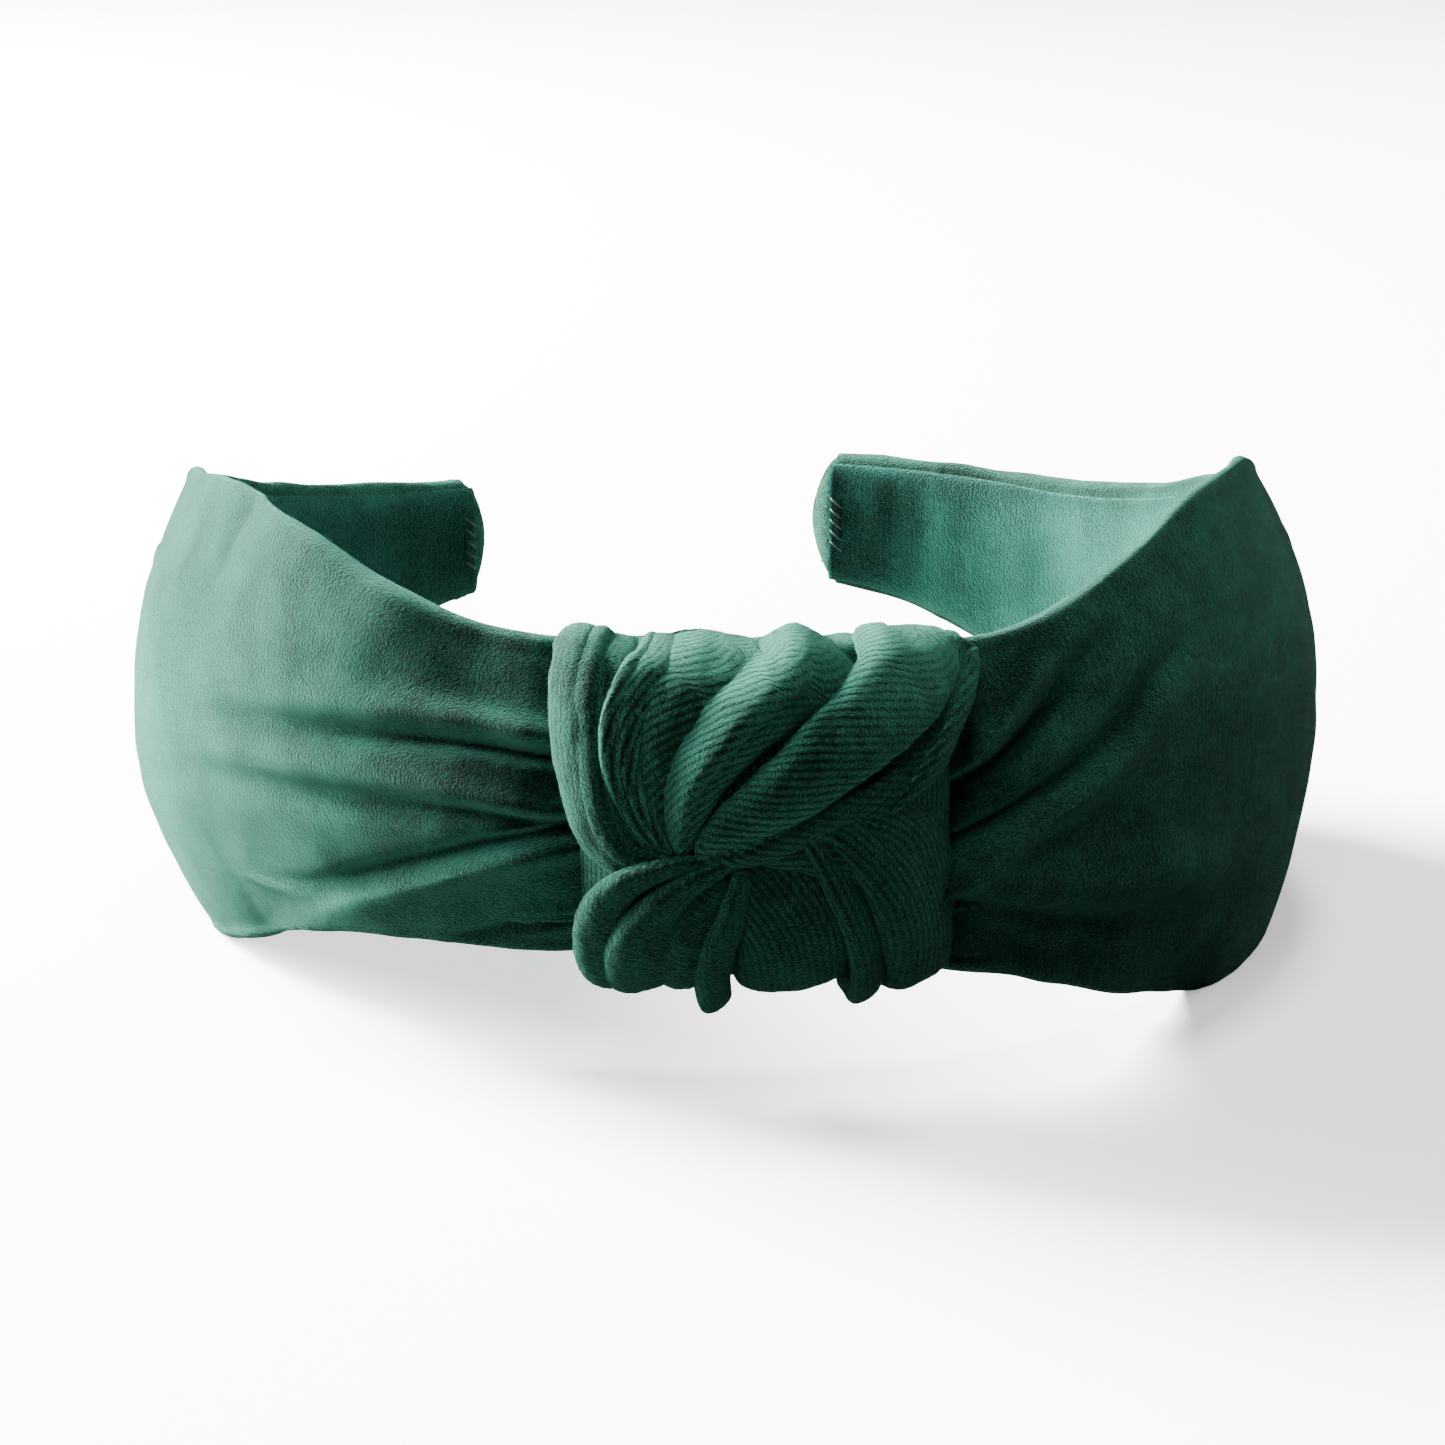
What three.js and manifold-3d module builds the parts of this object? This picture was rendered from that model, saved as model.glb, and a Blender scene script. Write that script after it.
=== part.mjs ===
// A knotted headband: a springy C-shaped core, padded, covered in velvet and lined, with the two
// halves of the cover passed round each other in a knot at the front. Millimetres, +Z up. The knot
// faces -Y and the tips face +Y. The band lies on its lower edges at z = 0, and the origin is below
// the middle of its box.
import * as THREE from 'three';
import { mergeVertices } from 'three/addons/utils/BufferGeometryUtils.js';
import Module from 'manifold-3d';

const wasm = await Module();
wasm.setup();

// The band. Stations along it are angles in degrees about the middle of its curve, from the front,
// positive to the right.
const CORE_INNER_RADIUS = 67.8;
const CORE_WALL = 2.2;
const CORE_HALF_HEIGHT = 16;
const CORE_KNOT_HALF_HEIGHT = 12.5;
const CORE_TIP_HALF_HEIGHT = 4.6;
const CORE_RISES = 18; // the stations where the core starts to widen, is at its widest and starts to taper
const CORE_RISEN = 50;
const CORE_FALLS = 70;
const FOAM_WALL = 3.8;
const FOAM_TIP_WALL = 1;
const FOAM_THINS = 60; // the station from which the pad gets thinner towards the tip
const CROWN_FOAM_WALL = 2;
const FOAM_FEATHER = 0.4; // the pad's thickness along its edges
const VELVET_WALL = 1.2;
const LINING_WALL = 1;
const LINING_REACH = 0.8; // share of the cover's half height that the lining spans
const EDGE_DROP = 6.2; // how far the crowned face falls back towards its upper and lower edges
const EDGE_TURN = 1.6; // outer radius of the turn where the cover goes round an edge
const HEM_REACH = 0.5; // share of the half height that is turned in behind the core
const REST_PRESS = 0.5; // how far the lower edges are pressed flat by what the band lies on
const GAP = 0.3; // between pieces that touch

// Each arm's stations, and its cover's edges as heights above and below the middle of the knot. An
// edge is at `knot` up to the station `rises`, at `full` from `risen` to `falls`, and at `tip` from
// `fallen`.
const REST_DEPTH = 32.4;
const LEFT = {
  name: 'left',
  sign: -1,
  tip: 157,
  top: { knot: 18.6, full: 29, tip: 9.6, rises: 24, risen: 60, falls: 66, fallen: 157 },
  bottom: {
    knot: 18.4,
    full: REST_DEPTH + REST_PRESS,
    tip: 7.4,
    rises: 30,
    risen: 76,
    falls: 102,
    fallen: 157,
  },
};
const RIGHT = {
  name: 'right',
  sign: 1,
  tip: 162,
  top: { knot: 17.6, full: 28.8, tip: 11.4, rises: 16, risen: 52, falls: 60, fallen: 132 },
  bottom: { knot: 18, full: REST_DEPTH + REST_PRESS, tip: 7.6, rises: 4, risen: 54, falls: 94, fallen: 162 },
};

// Each arm flexes about a point in the core just outside the knot, and the pieces end clear of it.
const FLEX_CLEARANCE = 3.2; // from the knot's side to the flex point
const CORE_CUT = 0.5; // also the lining's
const FOAM_CUT = 1;
const PANEL_CUT = 1.9;

// The knot.
const KNOT_STATION = -3.3;
const KNOT_HALF_WIDTH = 25;
const KNOT_HALF_HEIGHT = 20.4;
const KNOT_EDGE = 3; // thickness of the lobes at the knot's outline
const KNOT_BULGE = 7.6;
const KNOT_CORNER = 0.22; // share of the height that the knot loses at its lower corners
const PINCH = { across: -9.6, up: -3 }; // from the knot's middle to the point where its lobes meet
const LOBES = [
  { name: 'knot_fan', from: 25, to: 102 },
  { name: 'knot_collar', from: 102, to: 197 },
  { name: 'knot_lower_lobe', from: 197, to: 268 },
  { name: 'knot_rolled_fold', from: 268, to: 286 },
  { name: 'knot_skirt', from: 286, to: 385 },
];
const WRAP_WALL = 1.2;
const WRAP_INSET = 5; // from the knot's sides to the wrap's
const WRAP_DROP = 1.9; // from the knot's upper edge to the wrap's

// The folded tips and the threads.
const TIP_LENGTH = 4.5;
const TIP_ROUNDING = 0.45; // share of its half height that a tip loses at its very end
const TIP_THINNING = 1;
const THREAD_RADIUS = 0.35;
const TACK_SPAN = 9;
const TIP_THREAD_SPAN = 8;

const DEGREE = Math.PI / 180;
const ORIGIN = new THREE.Vector2(0, 0);
const BAND_STEPS = 30;
const FACE_STEPS = 5; // from the middle of the cover's face to its edge
const TURN_STEPS = 5;
const HEM_STEPS = 2;
const CROWNING = 2.2;
const TURN_SQUARENESS = 0.6;
const REST_WALL = VELVET_WALL - REST_PRESS;
const CORE_OUTER_RADIUS = CORE_INNER_RADIUS + CORE_WALL;
const FLEX_RADIUS = (CORE_INNER_RADIUS + CORE_OUTER_RADIUS) / 2;
const HEM_RADIUS = CORE_INNER_RADIUS - GAP - VELVET_WALL;
const LINING_RADIUS = HEM_RADIUS - GAP - LINING_WALL;
const WRAP_INNER_RADIUS = LINING_RADIUS - GAP - WRAP_WALL;
const WRAP_OUTER_RADIUS = CORE_OUTER_RADIUS + CROWN_FOAM_WALL + 2 * GAP + WRAP_WALL;
const LOBE_RADIUS = WRAP_OUTER_RADIUS + GAP;

const PLASTIC = { color: 0x1d1f1e, roughness: 0.5, metalness: 0 };
const FOAM = { color: 0xdedacb, roughness: 0.95, metalness: 0 };
const VELVET = { color: 0x14503c, roughness: 0.85, metalness: 0 };
const THREAD = { color: 0x0e3a2b, roughness: 0.7, metalness: 0 };

// A number that goes from 0 at start to 1 at end, with no corner at either.
function ease(x, start, end) {
  return THREE.MathUtils.smoothstep(x, start, end);
}

function mix(a, b, t) {
  return THREE.MathUtils.lerp(a, b, t);
}

// The degrees that a length covers at a radius.
function degrees(length, radius) {
  return length / radius / DEGREE;
}

// The point at a station, a distance from the middle of the band's curve and a height above the knot's
// middle.
function bandPoint(station, radius, height) {
  const angle = station * DEGREE;
  return new THREE.Vector3(radius * Math.sin(angle), -radius * Math.cos(angle), REST_DEPTH + height);
}

// How far an edge of the cover lies from the knot's middle height, at a station.
function edgeHeight(edge, station) {
  const turned = Math.abs(station);
  const full = mix(edge.knot, edge.full, ease(turned, edge.rises, edge.risen));
  return mix(full, edge.tip, ease(turned, edge.falls, edge.fallen));
}

function coreHalfHeight(side, station) {
  const turned = Math.abs(station);
  const full = mix(CORE_KNOT_HALF_HEIGHT, CORE_HALF_HEIGHT, ease(turned, CORE_RISES, CORE_RISEN));
  return mix(full, CORE_TIP_HALF_HEIGHT, ease(turned, CORE_FALLS, side.tip));
}

// The cover's section at a station. Its face is crowned from the crown's radius in the middle, and
// falls back by the drop at the height where it turns in, but never so far that it meets the core's
// corners.
function coverSection(side, station) {
  const top = edgeHeight(side.top, station);
  const bottom = edgeHeight(side.bottom, station);
  const foam = mix(FOAM_WALL, FOAM_TIP_WALL, ease(Math.abs(station), FOAM_THINS, side.tip));
  const middle = (top - bottom) / 2;
  const turnHeight = (top + bottom) / 2 - EDGE_TURN;
  const corner = (coreHalfHeight(side, station) + GAP + Math.abs(middle)) / turnHeight;
  return {
    middle,
    half: (top + bottom) / 2,
    turnHeight,
    crown: CORE_OUTER_RADIUS + foam + VELVET_WALL + 2 * GAP,
    drop: Math.min(EDGE_DROP, (foam + GAP) / corner ** CROWNING),
  };
}

// The radius of the cover's face at a share of the height where it turns in.
function faceRadius(section, share) {
  return section.crown - section.drop * Math.abs(share) ** CROWNING;
}

// A box with a mesh fine enough to bend, whose three coordinates each run from 0 to 1: through the
// wall, along the band and across it. The bend gives each of its points a place.
function bentSolid(name, look, along, across, bend) {
  const box = new THREE.BoxGeometry(1, 1, 1, 1, along, across);
  box.translate(0.5, 0.5, 0.5);
  box.deleteAttribute('normal');
  box.deleteAttribute('uv');
  const geometry = mergeVertices(box);
  const position = geometry.attributes.position;
  for (let i = 0; i < position.count; i += 1) {
    const point = bend(position.getX(i), position.getY(i), position.getZ(i));
    position.setXYZ(i, point.x, point.y, point.z);
  }
  return namedMesh(name, look, geometry);
}

function namedMesh(name, look, geometry) {
  const mesh = new THREE.Mesh(geometry, new THREE.MeshStandardMaterial(look));
  mesh.name = name;
  geometry.computeVertexNormals();
  return mesh;
}

// Joining and cutting.
function solidOf(mesh) {
  const plain = new THREE.BufferGeometry();
  plain.setAttribute('position', mesh.geometry.attributes.position);
  plain.setIndex(mesh.geometry.index);
  const merged = mergeVertices(plain, 1e-4);
  const vertProperties = new Float32Array(merged.attributes.position.array);
  const triVerts = new Uint32Array(merged.index.array);
  return new wasm.Manifold(new wasm.Mesh({ numProp: 3, vertProperties, triVerts }));
}

function meshOf(name, look, solid) {
  const made = solid.getMesh();
  const geometry = new THREE.BufferGeometry();
  geometry.setAttribute('position', new THREE.BufferAttribute(made.vertProperties, 3));
  geometry.setIndex(new THREE.BufferAttribute(made.triVerts, 1));
  return namedMesh(name, look, geometry);
}

// The angle from the knot's middle to its sides.
function knotSpread() {
  return degrees(KNOT_HALF_WIDTH, LOBE_RADIUS + KNOT_EDGE);
}

function flexStation(side) {
  return KNOT_STATION + side.sign * (knotSpread() + degrees(FLEX_CLEARANCE, FLEX_RADIUS));
}

// The stretch of an arm from a cut beside its flex point to a cut before its tip, in rising stations.
function armStretch(side, cut, tipCut) {
  const near = flexStation(side) + side.sign * degrees(cut, FLEX_RADIUS);
  const far = side.sign * (side.tip - degrees(tipCut, FLEX_RADIUS));
  return side.sign > 0 ? [near, far] : [far, near];
}

// A strip of one thickness that follows the band's curve. Its height is given about the middle of the
// knot.
function strip(name, look, [from, to], steps, radius, wall, heightAt) {
  return bentSolid(name, look, steps, 4, (through, along, across) => {
    const station = mix(from, to, along);
    const { middle, half } = heightAt(station);
    return bandPoint(station, radius + through * wall, middle + (2 * across - 1) * half);
  });
}

// The pad between the core and the cover: crowned, with thin edges.
function armFoam(name, side) {
  const [from, to] = armStretch(side, FOAM_CUT, TIP_LENGTH + GAP);
  const inner = CORE_OUTER_RADIUS + GAP;
  const lost = VELVET_WALL + GAP;
  return bentSolid(name, FOAM, BAND_STEPS, 8, (through, along, across) => {
    const station = mix(from, to, along);
    const section = coverSection(side, station);
    const most = ((section.crown - lost - inner - FOAM_FEATHER) / section.drop) ** (1 / CROWNING);
    const share = (2 * across - 1) * Math.min(most, 1);
    const outer = faceRadius(section, share) - lost;
    return bandPoint(station, mix(inner, outer, through), section.middle + share * section.turnHeight);
  });
}

// The outline of the cover's section as radius and height, for t from -1 to 1: up the lower hem's
// inside, round the lower edge, over the crowned face, round the upper edge and down the upper hem.
function coverOutline(section, t) {
  const up = Math.sign(t);
  const step = Math.abs(t) * (FACE_STEPS + TURN_STEPS + HEM_STEPS);
  if (step <= FACE_STEPS) {
    const share = step / FACE_STEPS;
    return new THREE.Vector2(faceRadius(section, share), section.middle + up * section.turnHeight * share);
  }
  if (step <= FACE_STEPS + TURN_STEPS) {
    const turn = ((step - FACE_STEPS) / TURN_STEPS) * Math.PI;
    const rim = faceRadius(section, 1);
    const halfWidth = (rim - HEM_RADIUS) / 2;
    const sideways = Math.sign(Math.cos(turn)) * Math.abs(Math.cos(turn)) ** TURN_SQUARENESS;
    const outwards = EDGE_TURN * Math.abs(Math.sin(turn)) ** TURN_SQUARENESS;
    return new THREE.Vector2(
      rim - halfWidth + halfWidth * sideways,
      section.middle + up * (section.turnHeight + outwards),
    );
  }
  const hem = (step - FACE_STEPS - TURN_STEPS) / HEM_STEPS;
  const height = section.turnHeight - hem * HEM_REACH * section.half;
  return new THREE.Vector2(HEM_RADIUS, section.middle + up * height);
}

// The velvet cover of one arm, an open shell that is turned in over both edges of the band.
function velvetPanel(name, side) {
  const [from, to] = armStretch(side, PANEL_CUT, TIP_LENGTH + GAP);
  const acrossSteps = 2 * (FACE_STEPS + TURN_STEPS + HEM_STEPS);
  const nudge = 1e-3;
  return bentSolid(name, VELVET, BAND_STEPS, acrossSteps, (through, along, across) => {
    const station = mix(from, to, along);
    const section = coverSection(side, station);
    const t = 2 * across - 1;
    const outline = coverOutline(section, t);
    const ahead = coverOutline(section, t + nudge);
    const behind = coverOutline(section, t - nudge);
    const inwards = new THREE.Vector2(behind.y - ahead.y, ahead.x - behind.x).normalize();
    outline.addScaledVector(inwards, (1 - through) * VELVET_WALL);
    const point = bandPoint(station, outline.x, outline.y);
    point.z = Math.max(point.z, (1 - through) * REST_WALL);
    return point;
  });
}

// The rounded end of an arm, where the cover is folded round the core.
function tipFold(name, side) {
  const stationAt = (length) => side.sign * (side.tip - degrees(length, FLEX_RADIUS));
  const [base, end] = [stationAt(TIP_LENGTH), stationAt(0)];
  const [from, to] = side.sign > 0 ? [base, end] : [end, base];
  const cap = bentSolid(name, VELVET, 6, 8, (through, along, across) => {
    const station = mix(from, to, along);
    const section = coverSection(side, station);
    const near = (station - base) / (end - base);
    const share = 2 * across - 1;
    const half = section.half * (1 - TIP_ROUNDING * near ** CROWNING);
    const inner = LINING_RADIUS + TIP_THINNING * near ** 2;
    const outer = faceRadius(section, share) - TIP_THINNING * near ** 2;
    return bandPoint(station, mix(inner, outer, through), section.middle + share * half);
  });
  const mouth = [stationAt(TIP_LENGTH + 1), stationAt(VELVET_WALL)];
  const pocket = strip('pocket', PLASTIC, side.sign > 0 ? mouth : mouth.reverse(), 6,
    CORE_INNER_RADIUS - GAP, CORE_WALL + 2 * GAP,
    (station) => ({ middle: 0, half: coreHalfHeight(side, station) + GAP }));
  return meshOf(name, VELVET, solidOf(cap).subtract(solidOf(pocket)));
}

// A thread that lies against the inside of the band, upright at a station.
function thread(name, station, radius, middle, span) {
  const round = new THREE.Shape().absarc(0, 0, THREAD_RADIUS, 0, 2 * Math.PI);
  const path = new THREE.LineCurve3(
    bandPoint(station, radius, middle - span / 2),
    bandPoint(station, radius, middle + span / 2),
  );
  const tube = new THREE.ExtrudeGeometry(round, { steps: 1, curveSegments: 4, extrudePath: path });
  tube.deleteAttribute('normal');
  tube.deleteAttribute('uv');
  return namedMesh(name, THREAD, mergeVertices(tube, 1e-4));
}

// The pieces of one arm.
function arm(side) {
  const within = (reach) => (station) => {
    const { middle, half } = coverSection(side, station);
    return { middle, half: half * reach };
  };
  const lining = armStretch(side, CORE_CUT, TIP_LENGTH + GAP);
  const core = armStretch(side, CORE_CUT, VELVET_WALL + GAP);
  const seam = side.sign * (side.tip - degrees(TIP_LENGTH, FLEX_RADIUS));
  const threadRadius = LINING_RADIUS - GAP - THREAD_RADIUS;
  return [
    strip(`core_${side.name}`, PLASTIC, core, BAND_STEPS, CORE_INNER_RADIUS, CORE_WALL,
      (station) => ({ middle: 0, half: coreHalfHeight(side, station) })),
    armFoam(`foam_${side.name}`, side),
    velvetPanel(`velvet_panel_${side.name}`, side),
    strip(`lining_${side.name}`, VELVET, lining, BAND_STEPS, LINING_RADIUS, LINING_WALL,
      within(LINING_REACH)),
    tipFold(`tip_fold_${side.name}`, side),
    thread(`tip_thread_${side.name}`, seam, threadRadius, coverSection(side, seam).middle, TIP_THREAD_SPAN),
  ];
}

// The knot's body before its lobes are parted: a pad bent round the front of the band.
function knotPad() {
  return bentSolid('knot_pad', VELVET, 16, 12, (through, along, across) => {
    const [u, v] = [2 * along - 1, 2 * across - 1];
    const bulge = KNOT_BULGE * (1 - Math.abs(u) ** 3) * (1 - Math.abs(v) ** 3);
    const radius = LOBE_RADIUS + through * (KNOT_EDGE + bulge);
    const corner = v < 0 ? 1 - KNOT_CORNER * Math.abs(u) ** 4 : 1;
    return bandPoint(KNOT_STATION + u * knotSpread(), radius, v * corner * KNOT_HALF_HEIGHT);
  });
}

// A wedge that opens from the pinch between two directions, in degrees anticlockwise from the right as
// the knot is seen from the front. Half a gap is kept clear of each of its sides.
function wedge(from, to) {
  const reach = 4 * KNOT_HALF_WIDTH;
  const middle = (from + to) / 2;
  const inset = GAP / 2 / Math.sin(((to - from) / 2) * DEGREE);
  const ray = (angle, length) => new THREE.Vector2(length, 0).rotateAround(ORIGIN, angle * DEGREE);
  const knotMiddle = bandPoint(KNOT_STATION, WRAP_OUTER_RADIUS, 0);
  const pinch = new THREE.Vector2(knotMiddle.x + PINCH.across, knotMiddle.z + PINCH.up);
  const apex = ray(middle, inset).add(pinch);
  const outline = [from, middle, to].map((angle) => ray(angle, reach).add(apex));
  const prism = new THREE.ExtrudeGeometry(new THREE.Shape([apex, ...outline]), {
    steps: 1,
    depth: 2 * WRAP_OUTER_RADIUS,
    bevelEnabled: false,
  });
  prism.rotateX(Math.PI / 2);
  prism.deleteAttribute('normal');
  prism.deleteAttribute('uv');
  return solidOf(namedMesh('wedge', VELVET, mergeVertices(prism)));
}

function lobes() {
  const pad = solidOf(knotPad());
  return LOBES.map(({ name, from, to }) => meshOf(name, VELVET, pad.intersect(wedge(from, to))));
}

// The fabric that passes round the band behind the lobes.
function knotWrap() {
  const sleeve = (width, innerRadius, outerRadius, height) => {
    const spread = degrees(width, WRAP_OUTER_RADIUS);
    return solidOf(strip('sleeve', VELVET, [KNOT_STATION - spread, KNOT_STATION + spread], 12,
      innerRadius, outerRadius - innerRadius, () => ({ middle: 0, half: height })));
  };
  const halfWidth = KNOT_HALF_WIDTH - WRAP_INSET;
  const halfHeight = KNOT_HALF_HEIGHT - WRAP_DROP;
  const outside = sleeve(halfWidth, WRAP_INNER_RADIUS, WRAP_OUTER_RADIUS, halfHeight);
  const inside = sleeve(
    halfWidth + 1,
    WRAP_INNER_RADIUS + WRAP_WALL,
    WRAP_OUTER_RADIUS - WRAP_WALL,
    halfHeight - WRAP_WALL,
  );
  return meshOf('knot_wrap', VELVET, outside.subtract(inside));
}

// The pieces that the knot holds together at the front.
function crown() {
  const between = (cut) => [
    flexStation(LEFT) + degrees(cut, FLEX_RADIUS),
    flexStation(RIGHT) - degrees(cut, FLEX_RADIUS),
  ];
  const level = (half) => () => ({ middle: 0, half });
  const tackRadius = WRAP_INNER_RADIUS - GAP - THREAD_RADIUS;
  const liningHalf = (LINING_REACH * (LEFT.top.knot + LEFT.bottom.knot)) / 2;
  return [
    strip('core_crown', PLASTIC, between(CORE_CUT), 12, CORE_INNER_RADIUS, CORE_WALL,
      level(CORE_KNOT_HALF_HEIGHT)),
    strip('foam_crown', FOAM, between(FOAM_CUT), 12, CORE_OUTER_RADIUS + GAP, CROWN_FOAM_WALL,
      level(CORE_KNOT_HALF_HEIGHT - 1)),
    strip('lining_crown', VELVET, between(CORE_CUT), 12, LINING_RADIUS, LINING_WALL, level(liningHalf)),
    knotWrap(),
    ...lobes(),
    thread('knot_tack_thread', KNOT_STATION, tackRadius, 0, TACK_SPAN),
  ];
}

const headband = new THREE.Group();
headband.name = 'knotted_headband';
headband.add(...crown(), ...arm(LEFT), ...arm(RIGHT));
const middle = new THREE.Box3().setFromObject(headband, true).getCenter(new THREE.Vector3());
headband.position.set(-middle.x, -middle.y, 0);

export default headband;
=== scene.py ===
"""A knotted velvet headband: the soft goods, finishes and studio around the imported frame."""

import enum
import logging
import math
from collections.abc import Callable
from dataclasses import dataclass

import bmesh
import bpy
import numpy as np
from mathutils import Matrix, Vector, noise


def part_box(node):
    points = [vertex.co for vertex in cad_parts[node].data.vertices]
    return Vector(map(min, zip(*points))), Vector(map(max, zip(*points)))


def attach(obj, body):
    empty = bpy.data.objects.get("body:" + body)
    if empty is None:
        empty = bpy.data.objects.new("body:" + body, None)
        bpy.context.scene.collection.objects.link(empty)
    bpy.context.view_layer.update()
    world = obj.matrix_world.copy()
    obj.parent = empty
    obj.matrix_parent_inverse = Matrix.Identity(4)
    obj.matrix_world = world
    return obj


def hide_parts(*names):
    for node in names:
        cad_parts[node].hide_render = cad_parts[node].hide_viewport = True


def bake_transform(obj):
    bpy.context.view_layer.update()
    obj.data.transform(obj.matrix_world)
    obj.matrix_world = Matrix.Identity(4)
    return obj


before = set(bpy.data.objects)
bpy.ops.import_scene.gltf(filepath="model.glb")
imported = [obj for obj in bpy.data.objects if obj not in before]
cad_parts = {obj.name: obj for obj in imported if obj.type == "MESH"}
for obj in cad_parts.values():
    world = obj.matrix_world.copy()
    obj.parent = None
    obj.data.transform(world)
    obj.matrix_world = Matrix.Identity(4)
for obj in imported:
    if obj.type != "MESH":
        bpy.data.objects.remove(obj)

LOG = logging.getLogger("headband")
MM = 0.001
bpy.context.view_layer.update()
GAP = 0.3  # between pieces that touch, in millimetres
TINY = 1e-12
RIBS_ACROSS = 90.0  # degrees, for ribs that run across a piece
GAP_IN_LINING = 0.4  # from the knot's middle to the end of each lining, in degrees


def ease(x: np.ndarray, start: float, end: float) -> np.ndarray:
    """A smooth step from 0 at the start to 1 at the end.

    Args:
        x: Where the step is read.
        start: The value at which it leaves 0.
        end: The value at which it reaches 1.

    Returns:
        The step's height for each value of x.
    """
    t = np.clip((np.asarray(x, float) - start) / (end - start), 0, 1)
    return t * t * (3 - 2 * t)


def mix(a: np.ndarray, b: np.ndarray, t: np.ndarray) -> np.ndarray:
    """The value that lies at share t between a and b."""
    return a + (b - a) * t


def smooth_rows(rows: np.ndarray, count: int) -> np.ndarray:
    """Runs a smooth curve through rows of numbers.

    Args:
        rows: The rows that the curve passes through, one to each knot.
        count: How many rows are wanted.

    Returns:
        The rows, evenly spread over the curve's parameter.
    """
    rows = np.asarray(rows, float)
    held = np.concatenate([[2 * rows[0] - rows[1]], rows, [2 * rows[-1] - rows[-2]]])
    at = np.linspace(0, len(rows) - 1, count)
    i = np.minimum(at.astype(int), len(rows) - 2)
    t = (at - i)[:, None]
    a, b, c, d = (held[i + k] for k in range(4))
    bend, twist = 2 * a - 5 * b + 4 * c - d, 3 * b - a - 3 * c + d
    return 0.5 * (2 * b + (c - a) * t + bend * t**2 + twist * t**3)


def unit(vectors: np.ndarray) -> np.ndarray:
    """The vectors at length one."""
    return vectors / np.maximum(np.linalg.norm(vectors, axis=-1, keepdims=True), TINY)


def squared(wave: np.ndarray, power: float) -> np.ndarray:
    """A sine or cosine raised to a power with its sign kept, which squares off or pinches a round section."""
    return np.sign(wave) * np.abs(wave) ** power


def rumple(points: np.ndarray, size: float, seed: float) -> np.ndarray:
    """Smooth unevenness over space.

    Args:
        points: Where it is read, in millimetres.
        size: About how far apart its bumps are, in millimetres.
        seed: Shifts the pattern.

    Returns:
        A value of about -1 to 1 for each point.
    """
    flat = points.reshape(-1, 3) / size + seed
    values = [noise.noise(Vector(p)) for p in flat]
    return np.array(values).reshape(points.shape[:-1])


class Frame3d:
    """The band's curve, read from the frame: where a station, a radius and a height are in space."""

    def __init__(self) -> None:
        """Reads the band's middle, its core's radius and the knot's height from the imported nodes."""
        low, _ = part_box("core_left")
        _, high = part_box("core_right")
        crown_low, crown_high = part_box("core_crown")
        self.core_radius = (high.x - low.x) / 2 / MM
        self.centre_x = (high.x + low.x) / 2 / MM
        self.centre_y = crown_low.y / MM + self.core_radius
        self.knot_height = (crown_low.z + crown_high.z) / 2 / MM

    def point(self, station: np.ndarray, radius: np.ndarray, height: np.ndarray) -> np.ndarray:
        """Places points.

        Args:
            station: Degrees round the band from its front, positive to the right.
            radius: Distance from the middle of the band's curve, in millimetres.
            height: Height above the middle of the knot, in millimetres.

        Returns:
            The points, in millimetres.
        """
        angle = np.radians(station)
        x = self.centre_x + radius * np.sin(angle)
        y = self.centre_y - radius * np.cos(angle)
        z = self.knot_height + height
        return np.stack(np.broadcast_arrays(x, y, z), axis=-1)


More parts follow.
